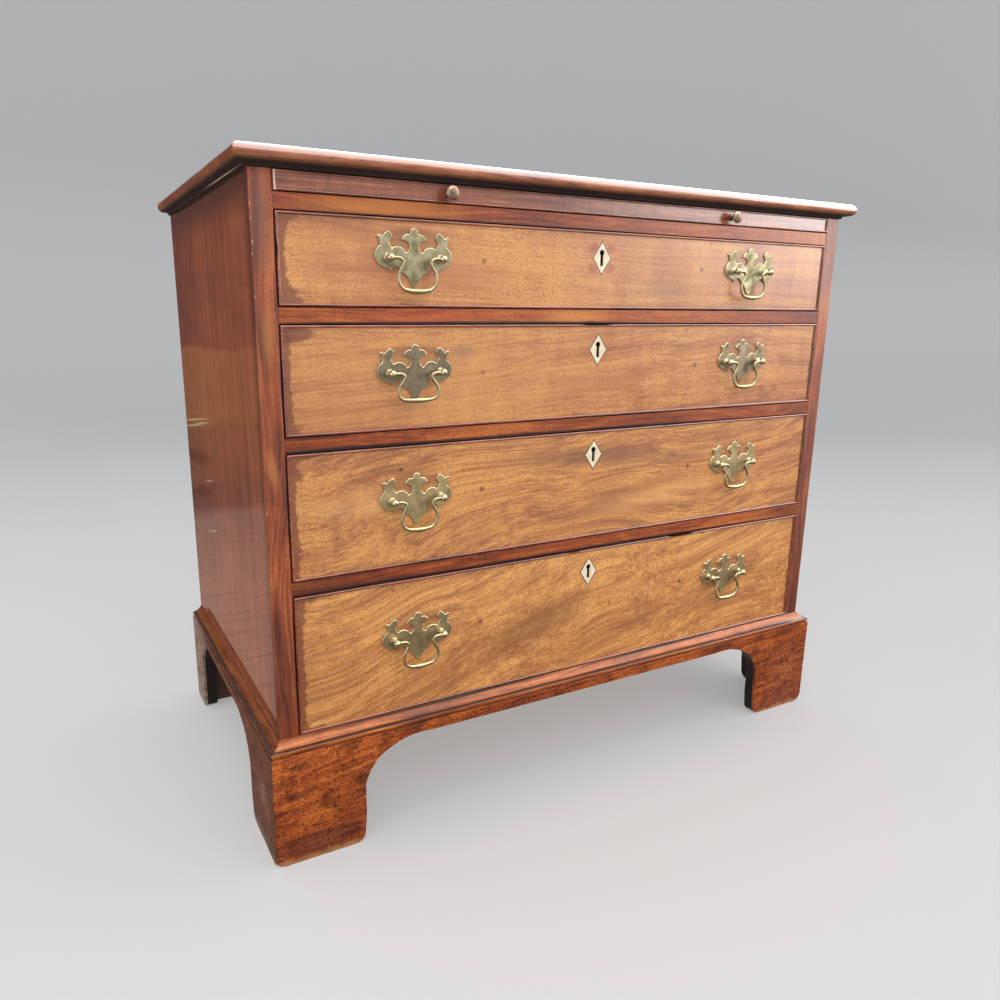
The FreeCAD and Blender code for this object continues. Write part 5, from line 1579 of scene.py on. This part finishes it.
def drawer_finishes() -> list[DrawerTimber]:
    """Give each drawer its own board, from the top down.

    Faded and waxed long ago: a warm straw brown with a soft gloss, whose grain runs wilder from the
    top drawer down.
    """
    gold = ("#D2944F", "#BC7942", "#965530")
    deep = ("#DC9B50", "#C18047", "#9C6138")
    bright = ("#E6A558", "#CD8B4B", "#AA6D3D")
    wild = {"flow_length": 380.0, "streaks": (240.0, 2.8), "cloud_share": 0.15, "ribbon_share": 0.06}
    boards = (
        (gold, {"flow": 5.0, "slant": -0.5, "cloud_share": 0.35}),
        (gold, {"flow": 12.0, "slant": 2.0, "borders": (7.2, 3.0, 1.2, 1.4)}),
        (deep, {"flow": 28.0, "slant": 5.0, "borders": (6.2, 3.2, 1.2, 1.4),
                "bands": (360.0, 14.0), **wild}),
        (bright, {"flow": 34.0, "slant": 12.0, "borders": (7.0, 3.4, 1.4, 1.6),
                  "bands": (300.0, 15.0), **wild}),
    )
    finishes = []
    for number, ((tones, more), (plugs, rows)) in enumerate(zip(boards, DRAWER_MARKS)):
        filled = ((x, plugs, 4, 4, "#5A2A18", 0.7, 0, 0.6) for x in (-171, 171))
        finishes.append(DrawerTimber(
            f"mahogany_waxed_drawer_{number + 1}", Grain.ACROSS, *tones, **more,
            shift=(2.0 * number, 0.0, 1.0 * number), marks=front_marks(*filled, *rows),
        ))
    return finishes


def drawers(nodes: dict[str, Piece]) -> list[Drawer]:
    """Put the four drawers together, each with its own board, plates and damage."""
    # Casting leaves a grainy skin, which dulls the light; turned and forged brass is smoother.
    cast, brown, pale = (
        Brass(f"brass_cast_plate_{name}", dull=dull, deep=deep, roughness=roughness).build()
        for name, dull, deep, roughness in (
            ("olive", "#969070", "#5E563A", 0.44),
            ("brown", "#8A7C64", "#524636", 0.4),
            ("pale", "#BCA87C", "#86734C", 0.43),
        )
    )
    shared = {
        "post": Brass("brass_turned_post", "#C0B18E", "#968868", roughness=0.3, skin=0.4).build(),
        "bail": Brass("brass_forged_bail", "#AC9E7C", "#86785A", roughness=0.42, skin=0.5).build(),
        "lock": Brass("brass_sheet_lock", "#8A7A50", "#5C4E32", "#2E2618", roughness=0.5).build(),
        "bolt": Iron("iron_filed_bolt").build(),
    }
    # Painted shade along the gap under the bottom drawer's chipped lower bead.
    grime_and_shade = front_marks(
        (-215, 160.4, 190, 2.2, GAP_SHADE_AND_NICK, 0.9, 0, 0.75),
        (150, 160.4, 120, 1.9, GAP_SHADE_AND_NICK, 0.9, 0, 0.75),
    )
    worst = (0, 110.0, 240.0, 1.6), (0, 490.0, 580.0, 1.0), (2, 225.0, 270.0, 1.7), (2, 430.0, 452.0, 0.9)
    own = (
        {"chips": ((3, 30.0, 48.0, 1.0),)},
        {"chips": ((2, 398.0, 440.0, 1.2),), "bent": {"left": (4.5, 0.87)}},
        {},
        {"chips": worst, "grime_and_shade": grime_and_shade},
    )
    rows = zip(drawer_finishes(), (cast, brown, pale, pale), own)
    return [
        Drawer(nodes, number, finish, {**shared, "plate": plate}, **damage)
        for number, (finish, plate, damage) in enumerate(rows, 1)
    ]


def main() -> None:
    """Load the solids, build every sub-assembly, the studio and the camera."""
    logging.basicConfig(level=logging.INFO, format="%(message)s")
    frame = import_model()
    nodes = frame["nodes"]
    # Fingers keep the knobs brown and dull.
    knob = Brass("brass_turned_knob", "#9A8470", "#7E6A58", "#544438", roughness=0.4).build()
    parts = (Carcase(nodes), TopBoard(), Base(nodes), BrushingSlide(nodes, knob), *drawers(nodes), Studio())
    for part in parts:
        LOG.info("building %s", type(part).__name__)
        part.build()


if __name__ == "__main__":
    main()
